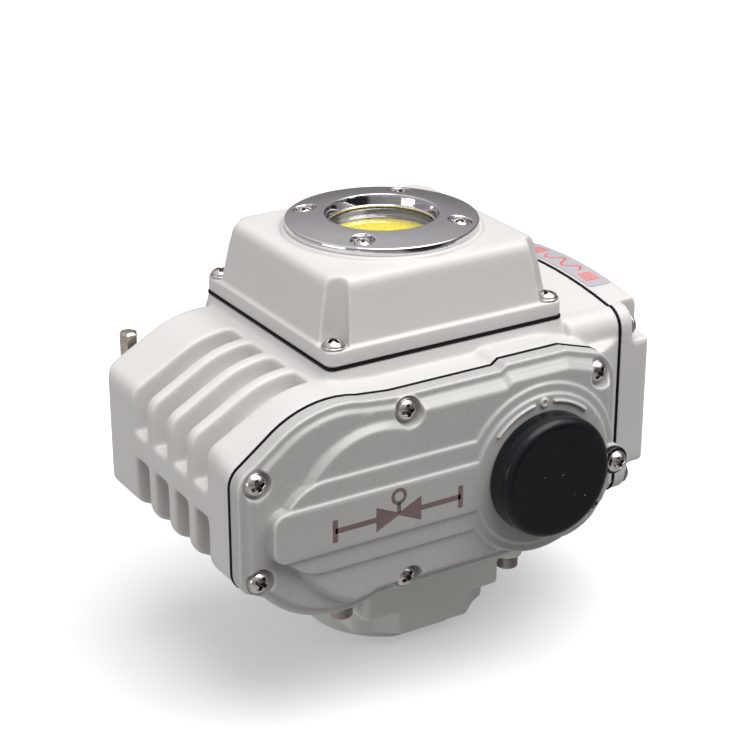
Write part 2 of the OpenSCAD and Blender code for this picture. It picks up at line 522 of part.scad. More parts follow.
// ---- motor ----
module motor_stator() color([0.5, 0.5, 0.52]) difference() {
  cyl_y(mx, mz, 24.5, -20, 14);
  cyl_y(mx, mz, 14.4, -30, 30);
}
module motor_windings() color([0.7, 0.38, 0.18]) {
  ring_y(mx, mz, 14.6, 21, -27, -20);
  ring_y(mx, mz, 14.6, 21, 14, 21);
}
module motor_end_bells() color([0.6, 0.6, 0.6]) {
  difference() {
    union() { ring_y(mx, mz, 22, 24.5, -38, -20); ring_y(mx, mz, 8, 24.5, -38, -34); }
    for (k = [0:2]) cyl_y(mx + 20.5*cos(90 + 120*k), mz + 20.5*sin(90 + 120*k), 1.3, -39, -33);
  }
  ring_y(mx, mz, 22, 24.5, 14, 26);
  ring_y(mx, mz, 8, 24.5, 22, 26);
}
module motor_bearings() color([0.72, 0.72, 0.74]) {
  ring_y(mx, mz, 3.04, 8, -38, -34);
  ring_y(mx, mz, 3.04, 8, 22, 26);
}
module motor_screws() color([0.75, 0.74, 0.73]) for (k = [0:2])
  translate([mx + 20.5*cos(90 + 120*k), -44, mz + 20.5*sin(90 + 120*k)]) { rotate([90, 0, 0]) pan_screw(2.4, 1.6, 1.25, 9.5); }
module motor_rotor() color([0.56, 0.56, 0.58]) difference() { cyl_y(mx, mz, 14, -20, 14); cyl_y(mx, mz, 3, -30, 30); }
module motor_shaft() color([0.7, 0.7, 0.72]) cyl_y(mx, mz, 3, -63, 27.5);
module motor_pinion() color([0.76, 0.62, 0.34]) difference() {
  translate([mx, 0, mz]) ex_y(-63, -57.6) gear2d(pinion_t, mod, 0.8, 0.16, ph_m);
  cyl_y(mx, mz, 3, -70, -50);
}
module capacitor() color([0.2, 0.22, 0.3]) cyl_y(-2, 60, 7, 21.5, 33);
module capacitor_clamp() color([0.7, 0.7, 0.7]) { ring_y(-2, 60, 7, 8, 25, 31); box([-5, 25, 52], [1, 31, 52.2]); }

// ---- limit switches ----
module switch_bracket() color([0.75, 0.76, 0.78]) {
  box([-26, 32.4, 88], [26, 33.9, 99.9]);
  box([-26, 20, 98.4], [26, 33, 99.9]);
}
module limit_switches() color([0.12, 0.13, 0.15]) {
  box([-24, 20, 103.4], [-4, 30, 109.4]);
  box([4, 20, 109.6], [24, 30, 115.6]);
  box([-24, 21, 99.9], [-18, 29, 103.4]);
  box([18, 21, 99.9], [24, 29, 109.6]);
}
module lever_pins() color([0.7, 0.7, 0.72]) { cyl_z(-24.9, 18.6, 0.8, 103.4, 109.4); cyl_z(24.9, 18.6, 0.8, 109.6, 115.6); box([-25.7, 19.4, 103.4], [-24, 20.6, 104]); box([24, 19.4, 109.6], [25.7, 20.6, 110.2]); }
module lever(sx, z) { difference() {
    union() { translate([sx*24.9, 18.6, z]) cylinder(h = 3.6, r = 1.7); box([min(sx*24.9, sx*2), 17.9, z + 0.4], [max(sx*24.9, sx*2), 18.7, z + 3.2]); translate([sx*2.6, 16.9, z + 0.4]) cylinder(h = 2.8, r = 2); }
    translate([sx*24.9, 18.6, z - 1]) cylinder(h = 6, r = 0.85);
} }
module switch_lever_open() color([0.82, 0.8, 0.76]) lever(-1, 104.6);
module switch_lever_shut() color([0.82, 0.8, 0.76]) lever(1, 110.8);

// ---- terminals and cable entries ----
module terminal_block() color([0.2, 0.45, 0.3]) difference() {
  box([52, -34, 78], [61, 30, 90]);
  for (i = [0:7]) { cyl_x(-30 + 8*i, 84, 2.2, 57, 70); box([54, -32.6 + 8*i, 76], [57, -28 + 8*i, 80.4]); }
}
module terminal_screws() color([0.8, 0.78, 0.7]) for (i = [0:7]) difference() {
  cyl_x(-30 + 8*i, 84, 2.1, 57, 60.4);
  box([59.6, -32 + 8*i, 83.7], [62, -28 + 8*i, 84.3]);
}
module cable_glands() color([0.1, 0.1, 0.11]) for (z = [70, 98]) difference() {
  union() {
    cyl_y(62, z, 7.95, 40.2, 49.6);
    translate([62, 54, z]) rotate([90, 0, 0]) rotate(30) cylinder(h = 4.5, r = 10.6, $fn = 6);
    cyl_y(62, z, 8, 54, 60);
  }
  cyl_y(62, z, 5.4, 30, 70);
}
module gland_nuts() color([0.12, 0.12, 0.13]) for (z = [70, 98]) difference() {
  union() { translate([62, 61.4, z]) rotate([90, 0, 0]) rotate(30) cylinder(h = 7, r = 10.4, $fn = 6); cyl_y(62, z, 8.6, 61.4, 64); }
  cyl_y(62, z, 8.02, 50, 60.01);
  cyl_y(62, z, cable_r + 1.5, 50, 70);
}
module gland_seals() color([0.05, 0.05, 0.05]) for (z = [70, 98]) ring_y(62, z, cable_r, cable_r + 1.48, 46, 63.6);

// ---- hand override ----
module override_cap() color([0.1, 0.1, 0.12]) difference() {
  rotate([90, 0, 0]) translate([wx, wz, 0]) rotate_extrude($fn = 96) polygon(concat([[0, f_main + 2.4], [cap_r, f_main + 2.4]],
    arc(cap_r - 3.2, cap_front - 3.2, 3.2, 0, 90, 6), [[0, cap_front]]));
  cyl_y(wx, wz, 17.05, -f_main - 8, -f_main);
}
module cap_tab() color([0.1, 0.1, 0.12]) difference() {
  union() {
    cyl_y(tab_x, tab_z, 5.2, -f_main - 5, -f_main - 2.2);
  }
  cyl_y(tab_x, tab_z, 1.6, -f_main - 7, -f_main);
  cyl_y(wx, wz, cap_r + 0.35, -90, -f_main);
}
module cap_tab_screw() color([0.8, 0.78, 0.76]) translate([tab_x, -f_main - 5, tab_z]) rotate([90, 0, 0]) rotate(20) pan_screw(3.9, 2.8, 1.38, 18.5);

// ---- stored hex key ----
kx = -81; ky = rear_y + 5; kz0 = 80; kz1 = 113.4;
module hex_key() color([0.55, 0.53, 0.48]) {
  translate([kx, ky, kz0 + 6]) rotate(30) cylinder(h = kz1 - kz0 - 6, r = key_af/sqrt(3), $fn = 6);
  translate([kx + 6, ky, kz0]) rotate([0, 90, 0]) cylinder(h = 76, r = key_af/sqrt(3), $fn = 6);
  translate([kx + 6, ky, kz0 + 6]) rotate([90, 0, 0]) rotate([0, 0, 180]) rotate_extrude(angle = 90) translate([6, 0]) circle(r = key_af/sqrt(3), $fn = 6);
}
module key_clips() color([0.5, 0.5, 0.5]) for (x = [-60, -20]) difference() {
  box([x - 5, rear_y, kz0 - 7], [x + 5, ky + 2, kz0 + 7]);
  box([x - 6, rear_y + 1.8, kz0 - 3.6], [x + 6, ky + 10, kz0 + 3.6]);
}

main_housing();
top_cover();
top_cover_gasket();
top_cover_screws();
window_bezel();
window_glass();
window_seal();
bezel_screws();
gear_cover();
gear_cover_gasket();
gear_cover_screws();
terminal_cover();
terminal_cover_gasket();
terminal_cover_screws();
voltage_label();
base_block();
base_screws();
base_oring();
lower_bush();
upper_bush();
output_shaft();
worm_wheel();
wheel_key();
limit_cams();
indicator_disc();
indicator_pointer();
worm_shaft();
worm();
worm_gear();
worm_bearings();
idler_pins();
idler_gear_1();
idler_gear_2();
motor_stator();
motor_windings();
motor_end_bells();
motor_bearings();
motor_screws();
motor_rotor();
motor_shaft();
motor_pinion();
capacitor();
capacitor_clamp();
switch_bracket();
limit_switches();
switch_lever_open();
switch_lever_shut();
lever_pins();
terminal_block();
terminal_screws();
cable_glands();
gland_nuts();
gland_seals();
override_cap();
cap_tab();
cap_tab_screw();
hex_key();
key_clips();
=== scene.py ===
import json, math
import bpy, bmesh
import numpy as np
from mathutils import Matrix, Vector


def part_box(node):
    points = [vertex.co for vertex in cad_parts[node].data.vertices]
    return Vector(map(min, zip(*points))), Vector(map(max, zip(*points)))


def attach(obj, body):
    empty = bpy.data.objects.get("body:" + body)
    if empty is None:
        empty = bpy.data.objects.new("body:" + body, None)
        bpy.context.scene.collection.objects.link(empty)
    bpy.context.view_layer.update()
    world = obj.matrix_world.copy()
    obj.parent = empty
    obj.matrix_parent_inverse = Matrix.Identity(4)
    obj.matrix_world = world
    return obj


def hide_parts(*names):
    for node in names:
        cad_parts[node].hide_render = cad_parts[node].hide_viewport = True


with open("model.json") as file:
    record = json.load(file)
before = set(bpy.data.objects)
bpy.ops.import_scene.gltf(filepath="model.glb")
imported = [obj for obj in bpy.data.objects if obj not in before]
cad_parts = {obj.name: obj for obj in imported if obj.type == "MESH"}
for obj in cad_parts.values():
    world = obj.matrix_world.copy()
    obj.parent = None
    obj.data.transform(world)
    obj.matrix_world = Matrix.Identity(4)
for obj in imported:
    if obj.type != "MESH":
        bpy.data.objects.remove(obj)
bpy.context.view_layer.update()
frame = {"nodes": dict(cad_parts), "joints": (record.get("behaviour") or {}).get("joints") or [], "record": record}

import openvdb as vdb
from mathutils import Vector

NODES = frame["nodes"]
F32 = np.float32

# ---------------------------------------------------------------- soft solids
# Cast and moulded parts get their rounded edges from a distance field: the CAD
# solid is sampled as signed distance (millimetres), smoothed, and meshed again.


def arrays(obj):
    me = obj.data
    n = len(me.vertices)
    co = np.empty(n * 3, F32)
    me.vertices.foreach_get("co", co)
    me.calc_loop_triangles()
    tri = np.empty(len(me.loop_triangles) * 3, np.int32)
    me.loop_triangles.foreach_get("vertices", tri)
    return co.reshape(-1, 3) * 1000.0, tri.reshape(-1, 3)


class Field:
    """A block of signed distances on a regular grid, in millimetres."""

    def __init__(self, lo, hi, step, pad=3.0):
        self.v = step
        self.i0 = np.floor((np.array(lo, float) - pad) / step).astype(int)
        i1 = np.ceil((np.array(hi, float) + pad) / step).astype(int)
        self.n = i1 - self.i0 + 1
        ax = [(np.arange(self.n[k]) + self.i0[k]) * step for k in range(3)]
        self.x = ax[0].astype(F32)[:, None, None]
        self.y = ax[1].astype(F32)[None, :, None]
        self.z = ax[2].astype(F32)[None, None, :]
        self.a = None

    def sample(self, co, tri, half=None):
        half = half or max(3.0, 3.2 / self.v)
        tf = vdb.createLinearTransform(voxelSize=self.v)
        g = vdb.FloatGrid.createLevelSetFromPolygons(co.astype(F32), triangles=tri.astype(np.uint32), transform=tf, halfWidth=half)
        out = np.empty(tuple(self.n), F32)
        g.copyToArray(out, ijk=tuple(int(i) for i in self.i0))
        return out

    def grad(self, pts):
        a, v = self.a, self.v
        q = pts / v - self.i0
        q = np.clip(q, 1.001, self.n - 2.001)
        i = np.floor(q).astype(int)
        f = (q - i).astype(F32)

        def at(di, dj, dk):
            return a[i[:, 0] + di, i[:, 1] + dj, i[:, 2] + dk]
        g = np.zeros((len(pts), 3), F32)
        for di in (0, 1):
            for dj in (0, 1):
                for dk in (0, 1):
                    w = (f[:, 0] if di else 1 - f[:, 0]) * (f[:, 1] if dj else 1 - f[:, 1]) * (f[:, 2] if dk else 1 - f[:, 2])
                    for ax, d in enumerate(((1, 0, 0), (0, 1, 0), (0, 0, 1))):
                        g[:, ax] += w * (at(di + d[0], dj + d[1], dk + d[2]) - at(di - d[0], dj - d[1], dk - d[2]))
        l = np.linalg.norm(g, axis=1)
        l[l < 1e-9] = 1
        return g / l[:, None]

    def mesh(self, name, adapt=0.0, lim=180000):
        a = self.a
        for ax in range(3):
            for e in (0, -1):
                s = [slice(None)] * 3
                s[ax] = e
                a[tuple(s)] = np.maximum(a[tuple(s)], 0.5)
        g = vdb.FloatGrid(3.0)
        g.transform = vdb.createLinearTransform(voxelSize=self.v)
        g.copyFromArray(a, ijk=tuple(int(i) for i in self.i0))
        pts, tri, quad = g.convertToPolygons(0.0, adapt)
        tri = tri.astype(np.int64)
        quad = quad.astype(np.int64)
        me = bpy.data.meshes.new(name)
        nl = len(tri) * 3 + len(quad) * 4
        me.vertices.add(len(pts))
        me.vertices.foreach_set("co", (pts * 0.001).astype(F32).ravel())
        me.loops.add(nl)
        me.loops.foreach_set("vertex_index", np.concatenate([tri.ravel(), quad.ravel()]).astype(np.int32))
        me.polygons.add(len(tri) + len(quad))
        me.polygons.foreach_set("loop_start", np.concatenate([np.arange(len(tri)) * 3, len(tri) * 3 + np.arange(len(quad)) * 4]).astype(np.int32))
        me.update(calc_edges=True)
        me.validate()
        ob = bpy.data.objects.new(name, me)
        bpy.context.scene.collection.objects.link(ob)
        ntri = len(tri) + 2 * len(quad)
        if ntri > lim:
            m = ob.modifiers.new("dec", "DECIMATE")
            m.ratio = lim / ntri
            dg = bpy.context.evaluated_depsgraph_get()
            me2 = bpy.data.meshes.new_from_object(ob.evaluated_get(dg))
            ob.modifiers.clear()
            old = ob.data
            ob.data = me2
            bpy.data.meshes.remove(old)
            me = me2
            me.name = name
        co = np.empty(len(me.vertices) * 3, F32)
        me.vertices.foreach_get("co", co)
        nrm = self.grad(co.reshape(-1, 3) * 1000.0)
        me.polygons.foreach_set("use_smooth", np.ones(len(me.polygons), bool))
        me.normals_split_custom_set_from_vertices(nrm.tolist())
        print("MESH", name, len(me.vertices), len(me.polygons))
        return ob


def blur(a, s):
    """Gaussian blur, s in cells."""
    r = max(1, int(math.ceil(2.4 * s)))
    w = np.exp(-np.arange(-r, r + 1) ** 2 / (2.0 * s * s))
    w /= w.sum()
    for ax in range(3):
        pad = [(0, 0)] * 3
        pad[ax] = (r, r)
        p = np.pad(a, pad, mode="edge")
        out = np.zeros_like(a)
        for k in range(2 * r + 1):
            s_ = [slice(None)] * 3
            s_[ax] = slice(k, k + a.shape[ax])
            out += F32(w[k]) * p[tuple(s_)]
        a = out
    return a


def smin(a, b, k):
    h = np.clip(0.5 + 0.5 * (b - a) / k, 0, 1)
    return b + (a - b) * h - k * h * (1 - h)


def smax(a, b, k):
    return -smin(-a, -b, k)


def step01(x, a, b):
    t = np.clip((x - a) / (b - a), 0, 1)
    return t * t * (3 - 2 * t)


def value_at(F, a, pts):
    q = np.clip(pts / F.v - F.i0, 0, F.n - 1.001)
    i = np.floor(q).astype(int)
    f = (q - i).astype(F32)
    out = np.zeros(len(pts), F32)
    for di in (0, 1):
        for dj in (0, 1):
            for dk in (0, 1):
                w = (f[:, 0] if di else 1 - f[:, 0]) * (f[:, 1] if dj else 1 - f[:, 1]) * (f[:, 2] if dk else 1 - f[:, 2])
                out += w * a[i[:, 0] + di, i[:, 1] + dj, i[:, 2] + dk]
    return out


def mark_edges(ob, F, wide):
    """Stores how far each point is on an outside edge (+) or in a corner (-)."""
    co = np.empty(len(ob.data.vertices) * 3, F32)
    ob.data.vertices.foreach_get("co", co)
    at = ob.data.attributes.new("edge", "FLOAT", "POINT")
    at.data.foreach_set("value", value_at(F, wide, co.reshape(-1, 3) * 1000.0))


def soft(node, name, mat, step, sigma, body="housing", clip=2.0, adapt=0.02, regions=(), extra=None, lim=180000, fill=None):
    """A smoothed copy of a CAD node that stands for it. regions are (sigma, mask function of the field)."""
    co, tri = arrays(NODES[node])
    F = Field(co.min(0), co.max(0), step)
    a0 = np.clip(F.sample(co, tri, half=max(3.0, clip / step + 1)), -clip, clip)
    masks = [(s, np.clip(mask(F), 0, 1).astype(F32)) for s, mask in regions]

    def rounded(f0):
        f = blur(f0, sigma / step) if sigma > 0 else f0
        for s, m in masks:
            f = f + ((blur(f0, s / step) if s > 0 else f0) - f) * m
        return f
    if fill is None:
        a = rounded(a0)
    else:                      # the outside is rounded as if the hollow were full, so thin walls keep their place
        core = fill(F)
        low = F32(-clip)
        a = np.maximum(rounded(np.where(core < 0, low, a0)), rounded(np.where((core < 0) | ((a0 > 0) & (core < 2.0)), a0, low)))
    if extra:
        a = extra(F, a)
    F.a = a.astype(F32)
    ob = F.mesh(name, adapt, lim)
    mark_edges(ob, F, blur(F.a, 0.7 / step))
    ob.data.materials.append(mat)
    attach(ob, body)
    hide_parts(node)
    return ob


# ---------------------------------------------------------------- materials

def new_mat(name):
    m = bpy.data.materials.new(name)
    m.use_nodes = True
    nt = m.node_tree
    return m, nt, nt.nodes["Principled BSDF"] if "Principled BSDF" in nt.nodes else nt.nodes.new("ShaderNodeBsdfPrincipled")


def node(nt, kind, **kw):
    n = nt.nodes.new("ShaderNode" + kind)
    for k, v in kw.items():
        if k in ("operation", "blend_type", "data_type", "noise_dimensions", "feature", "attribute_name", "attribute_type", "clamp", "interpolation_type", "wave_type", "bands_direction", "distance"):
            setattr(n, k, v)
        else:
            n.inputs[k].default_value = v
    return n


def noise(nt, vec, scale, detail=4.0, rough=0.5):
    n = node(nt, "TexNoise", Scale=scale, Detail=detail, Roughness=rough)
    nt.links.new(vec, n.inputs["Vector"])
    return n.outputs["Fac"]


def ramp(nt, fac, stops):
    r = nt.nodes.new("ShaderNodeValToRGB")
    el = r.color_ramp.elements
    el[0].position, el[0].color = stops[0][0], (*stops[0][1], 1)
    el[1].position, el[1].color = stops[-1][0], (*stops[-1][1], 1)
    for p, c in stops[1:-1]:
        e = el.new(p)
        e.color = (*c, 1)
    nt.links.new(fac, r.inputs["Fac"])
    return r.outputs["Color"]


def mix(nt, fac, a, b, kind="MIX"):
    n = nt.nodes.new("ShaderNodeMix")
    n.data_type = "RGBA"
    n.blend_type = kind
    fi, ai, bi = n.inputs[0], n.inputs[6], n.inputs[7]
    for s, v in ((fi, fac), (ai, a), (bi, b)):
        if isinstance(v, bpy.types.NodeSocket):
            nt.links.new(v, s)
        elif s is fi:
            s.default_value = v
        else:
            s.default_value = (*v, 1)
    return n.outputs[2]


def mrange(nt, val, a, b, c=0.0, d=1.0):
    n = nt.nodes.new("ShaderNodeMapRange")
    n.inputs["From Min"].default_value, n.inputs["From Max"].default_value = a, b
    n.inputs["To Min"].default_value, n.inputs["To Max"].default_value = c, d
    nt.links.new(val, n.inputs["Value"])
    return n.outputs["Result"]


def bump(nt, bsdf, parts):
    """parts: (height socket, distance in metres, strength), joined in a chain."""
    last = None
    for h, dist, st in parts:
        b = node(nt, "Bump", Strength=st, Distance=dist)
        nt.links.new(h, b.inputs["Height"])
        if last is not None:
            nt.links.new(last, b.inputs["Normal"])
        last = b.outputs["Normal"]
    nt.links.new(last, bsdf.inputs["Normal"])


def coords(nt):
    return nt.nodes.new("ShaderNodeTexCoord").outputs["Object"]


def paint(name, base, dust_and_shade, light, rough=0.31, coat=0.0, peel=0.1, cast=0.2, foot=None):
    """Powder coat over a casting: fine orange peel, faint waviness, dust and painted shade in the corners, a painted
    highlight on the edges.
    """
    m, nt, p = new_mat(name)
    v = coords(nt)
    big = noise(nt, v, 28.0, 5.0, 0.55)
    mid = noise(nt, v, 160.0, 4.0, 0.6)
    peel_n = noise(nt, v, 1150.0, 2.0, 0.5)
    wav = noise(nt, v, 75.0, 3.0, 0.45)
    e = node(nt, "Attribute")
    e.attribute_name = "edge"
    ev = e.outputs["Fac"]
    tone = ramp(nt, big, [(0.3, tuple(c * 0.982 for c in base)), (0.7, tuple(min(1, c * 1.012) for c in base))])
    tone = mix(nt, mrange(nt, mid, 0.35, 0.75, 0.0, 0.02), tone, tuple(c * 0.88 for c in base))
    # dust and painted shade: a darker tone mixed in where the edge field marks a corner
    corner = mrange(nt, ev, -0.09, -0.35, 0.0, 0.2)
    cm = nt.nodes.new("ShaderNodeMath")
    cm.operation = "MULTIPLY"
    nt.links.new(corner, cm.inputs[0])
    nt.links.new(mrange(nt, mid, 0.25, 0.7, 0.55, 1.0), cm.inputs[1])
    tone = mix(nt, cm.outputs[0], tone, dust_and_shade)
    # painted highlight: the edge tone on the outside edges stands for light caught by the bevels
    tone = mix(nt, mrange(nt, ev, 0.08, 0.22, 0.0, 0.34), tone, light)
    if foot:                   # painted shade that gets heavier towards the foot
        sx = nt.nodes.new("ShaderNodeSeparateXYZ")
        nt.links.new(v, sx.inputs[0])
        tone = mix(nt, mrange(nt, sx.outputs["Z"], foot[0], foot[1], foot[2], 0.0), tone, tuple(c * 0.42 for c in base))
    nt.links.new(tone, p.inputs["Base Color"])
    nt.links.new(mrange(nt, mid, 0.3, 0.7, rough - 0.03, rough + 0.04), p.inputs["Roughness"])
    p.inputs["Specular IOR Level"].default_value = 0.5
    p.inputs["Coat Weight"].default_value = coat
    p.inputs["Coat Roughness"].default_value = 0.18
    bump(nt, p, [(wav, 0.00035, cast), (peel_n, 0.00006, peel)])
    return m


def metal(name, base, rough, bumpy=0.05, scale=900.0, spread=0.06, stretch=None, dark=0.75, wear=0.25, grime_and_shade=None):
    m, nt, p = new_mat(name)
    v = coords(nt)
    if stretch:
        mp = nt.nodes.new("ShaderNodeMapping")
        mp.inputs["Scale"].default_value = stretch
        nt.links.new(v, mp.inputs["Vector"])
        vs = mp.outputs["Vector"]
    else:
        vs = v
    f = noise(nt, vs, scale, 3.0, 0.6)
    g = noise(nt, v, 120.0, 4.0, 0.6)
    tone = ramp(nt, g, [(0.3, tuple(c * (1 - wear * 0.5) for c in base)), (0.72, base)])
    tone = mix(nt, mrange(nt, f, 0.35, 0.7, 0.0, wear), tone, tuple(c * dark for c in base))
    if grime_and_shade:                  # dirt and shade where the surface is hollow
        e = node(nt, "Attribute")
        e.attribute_name = "edge"
        tone = mix(nt, mrange(nt, e.outputs["Fac"], grime_and_shade[0], grime_and_shade[1], 0.0, 0.93), tone, (0.045, 0.034, 0.03))
    nt.links.new(tone, p.inputs["Base Color"])
    p.inputs["Metallic"].default_value = 1.0
    nt.links.new(mrange(nt, g, 0.3, 0.7, max(0.02, rough - spread), rough + spread), p.inputs["Roughness"])
    bump(nt, p, [(f, 0.00003, bumpy)])
    return m


def plastic(name, base, rough, bumpy=0.1, scale=1400.0, var=0.06, spec=0.5):
    m, nt, p = new_mat(name)
    v = coords(nt)
    f = noise(nt, v, scale, 3.0, 0.6)
    g = noise(nt, v, 90.0, 4.0, 0.6)
    tone = ramp(nt, g, [(0.3, tuple(c * (1 - var) for c in base)), (0.7, tuple(min(1, c * (1 + var)) for c in base))])
    nt.links.new(tone, p.inputs["Base Color"])
    nt.links.new(mrange(nt, f, 0.3, 0.7, rough - 0.05, rough + 0.06), p.inputs["Roughness"])
    p.inputs["Specular IOR Level"].default_value = spec
    bump(nt, p, [(f, 0.00004, bumpy)])
    return m


def rubber(name, base, rough, specks=0.0, spec=0.45):
    m, nt, p = new_mat(name)
    v = coords(nt)
    f = noise(nt, v, 1600.0, 3.0, 0.6)
    g = noise(nt, v, 70.0, 5.0, 0.6)
    tone = ramp(nt, g, [(0.3, tuple(c * 0.8 for c in base)), (0.75, tuple(c * 1.35 for c in base))])
    if specks:
        vo = node(nt, "TexVoronoi", Scale=260.0)
        nt.links.new(v, vo.inputs["Vector"])
        big = noise(nt, v, 55.0, 2.0, 0.5)
        near = mrange(nt, vo.outputs["Distance"], 0.085, 0.05, 0.0, 1.0)
        some = mrange(nt, big, 0.585, 0.62, 0.0, specks)
        mm = nt.nodes.new("ShaderNodeMath")
        mm.operation = "MULTIPLY"
        nt.links.new(near, mm.inputs[0])
        nt.links.new(some, mm.inputs[1])
        tone = mix(nt, mm.outputs[0], tone, (0.32, 0.33, 0.34))
    nt.links.new(tone, p.inputs["Base Color"])
    nt.links.new(mrange(nt, g, 0.3, 0.7, rough - 0.06, rough + 0.08), p.inputs["Roughness"])
    p.inputs["Specular IOR Level"].default_value = spec
    bump(nt, p, [(g, 0.0003, 0.06), (f, 0.00004, 0.16)])
    return m


WHITE = (0.60, 0.587, 0.572)
M_white = paint("powder_white", WHITE, (0.28, 0.27, 0.257), (0.72, 0.708, 0.695))
# a darker copy of the white powder coat for the front cover: painted shade on the front faces, with a stronger painted
# highlight on its edges
M_cover = paint("powder_cover_shaded", (0.43, 0.424, 0.41), (0.20, 0.197, 0.186), (0.76, 0.75, 0.73), rough=0.27)
# the base paint gets painted shade towards its foot
M_grey = paint("enamel_grey", (0.70, 0.725, 0.675), (0.30, 0.31, 0.285), (0.66, 0.68, 0.635), rough=0.42, peel=0.2, cast=0.5, foot=(0.0, 0.026, 0.62))
M_gasket = rubber("gasket_black", (0.006, 0.0045, 0.006), 0.6, spec=0.15)
M_cap = rubber("cap_rubber", (0.0085, 0.0092, 0.0115), 0.2, specks=0.75, spec=0.26)
M_steel_scr = metal("stainless", (0.70, 0.655, 0.63), 0.2, 0.08, 700.0, 0.05, dark=0.6, wear=0.3, grime_and_shade=(0.03, -0.09))
M_chrome = metal("chrome", (0.80, 0.775, 0.80), 0.045, 0.02, 500.0, 0.02, dark=0.92, wear=0.12)
M_key = metal("plated_key", (0.64, 0.575, 0.50), 0.32, 0.25, 600.0, 0.08, dark=0.55, wear=0.5)
M_bolt = metal("plated_bolt", (0.42, 0.36, 0.355), 0.42, 0.25, 700.0, 0.08, dark=0.6, wear=0.4)
M_steel = metal("machined_steel", (0.50, 0.50, 0.51), 0.3, 0.2, 500.0, 0.08, stretch=(1.0, 1.0, 0.12))
M_bronze = metal("bronze", (0.66, 0.46, 0.21), 0.32, 0.2, 500.0, 0.08)
M_copper = metal("copper_wire", (0.62, 0.27, 0.12), 0.35, 0.5, 420.0, 0.08, stretch=(0.15, 1.0, 0.15))
M_alu = metal("cast_alu", (0.62, 0.62, 0.62), 0.42, 0.4, 420.0, 0.08)
M_yellow = plastic("disc_yellow", (0.90, 0.70, 0.012), 0.28, 0.04, 700.0, 0.04)
M_red = plastic("pointer_red", (0.50, 0.018, 0.05), 0.3, 0.04, 700.0, 0.05)
M_ivory = plastic("ivory_plastic", (0.78, 0.75, 0.66), 0.42)
M_black = plastic("black_plastic", (0.018, 0.018, 0.02), 0.45, 0.25)
M_green = plastic("green_plastic", (0.045, 0.22, 0.11), 0.42)
M_ink = plastic("print_ink", (0.175, 0.128, 0.126), 0.5, 0.15, 900.0, 0.12, 0.3)
M_inkred = plastic("print_red", (0.62, 0.12, 0.09), 0.45, 0.1, 900.0, 0.15)
M_sticker = plastic("sticker_foil", (0.41, 0.39, 0.43), 0.33, 0.05, 300.0, 0.03)

M_glass, gnt, gp = new_mat("window_glass")
gv = coords(gnt)
gn = noise(gnt, gv, 40.0, 3.0, 0.5)
gnt.links.new(ramp(gnt, gn, [(0.3, (0.95, 0.975, 0.965)), (0.7, (0.975, 0.99, 0.985))]), gp.inputs["Base Color"])
gp.inputs["Roughness"].default_value = 0.0
gp.inputs["Transmission Weight"].default_value = 1.0
gp.inputs["IOR"].default_value = 1.5
gtr = gnt.nodes.new("ShaderNodeBsdfTransparent")
gtr.inputs["Color"].default_value = (0.9, 0.92, 0.91, 1)
glp = gnt.nodes.new("ShaderNodeLightPath")
gms = gnt.nodes.new("ShaderNodeMixShader")
gnt.links.new(glp.outputs["Is Shadow Ray"], gms.inputs[0])
gnt.links.new(gp.outputs[0], gms.inputs[1])
gnt.links.new(gtr.outputs[0], gms.inputs[2])
gnt.links.new(gms.outputs[0], gnt.nodes["Material Output"].inputs["Surface"])

# ---------------------------------------------------------------- key places, millimetres
lo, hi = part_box("top_cover")
COVZ = hi.z * 1000 - 1.3           # roof of the top cover
TOPZ = lo.z * 1000
lo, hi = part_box("gear_cover_gasket")
FRONT = -lo.y * 1000 - 0.8         # joint face of the housing
FRIM = FRONT + 6.8
FMAIN = FRIM + 4
lo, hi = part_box("window_bezel")
BEZR = hi.x * 1000
lo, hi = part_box("terminal_cover_gasket")
SEAM = lo.x * 1000
jt = {j["name"]: j for j in frame["joints"]}
WX, _, WZ = [v * 1000 for v in jt["worm_spin"]["pos_m"]]

def centres(cad, axis, skip=0.0):
    """Centres of the heads of a group of identical CAD fasteners, from their separate solids."""
    co, tri = arrays(NODES[cad])
    key = np.round(co, 3)
    _, inv = np.unique(key, axis=0, return_inverse=True)
    inv = inv.ravel()
    par = np.arange(inv.max() + 1)

    def find(i):
        while par[i] != i:
            par[i] = par[par[i]]
            i = par[i]
        return i
    for t in inv[tri]:
        a, b, c = find(t[0]), find(t[1]), find(t[2])
        par[b] = a
        par[find(c)] = a
    root = np.array([find(i) for i in inv])
    out = []
    for r in np.unique(root):
        p = co[root == r]
        mid = (p.min(0) + p.max(0)) / 2
        out.append((mid, p.min(0), p.max(0)))
    return sorted(out, key=lambda t: tuple(np.round(t[0], 1)))


# ---------------------------------------------------------------- castings

def near_seams(F):
    m = step01(-F.y, FRONT - 2.2, FRONT - 0.9)
    m = np.maximum(m, step01(F.z, TOPZ - 3.2, TOPZ - 2.0) * (np.abs(F.x) < 52))
    return np.maximum(m, step01(F.x, SEAM - 2.4, SEAM - 1.0))


soft("main_housing", "housing_casting", M_white, 0.48, 0.9, clip=2.2, regions=[(0.36, near_seams)], lim=190000)


def cover_top(F):
    r = np.sqrt(F.x ** 2 + F.y ** 2)
    return step01(F.z, COVZ - 9, COVZ - 5) * step01(r, BEZR + 1.8, BEZR + 2.6)


def cover_core(F):
    k = (F.z - TOPZ) / (COVZ - TOPZ - 6)
    c = np.maximum(np.abs(F.x) - (45.5 - 3.9 * k), np.abs(F.y) - (42.2 - 3.9 * k))
    c = np.maximum(c, F.z - (COVZ - 3.4))
    r = np.sqrt(F.x ** 2 + F.y ** 2)
    c = np.maximum(c, -np.maximum(r - 23.6, (COVZ - 9.5) - F.z))
    for sx in (-1, 1):
        for sy in (-1, 1):
            up = np.clip(F.z - (TOPZ + 6), 0, 60)
            for lean in (0.0, 0.0857):
                c = np.maximum(c, 6.7 - np.sqrt((F.x - sx * (44.3 - lean * up)) ** 2 + (F.y - sy * (40.8 - lean * up)) ** 2))
    return c


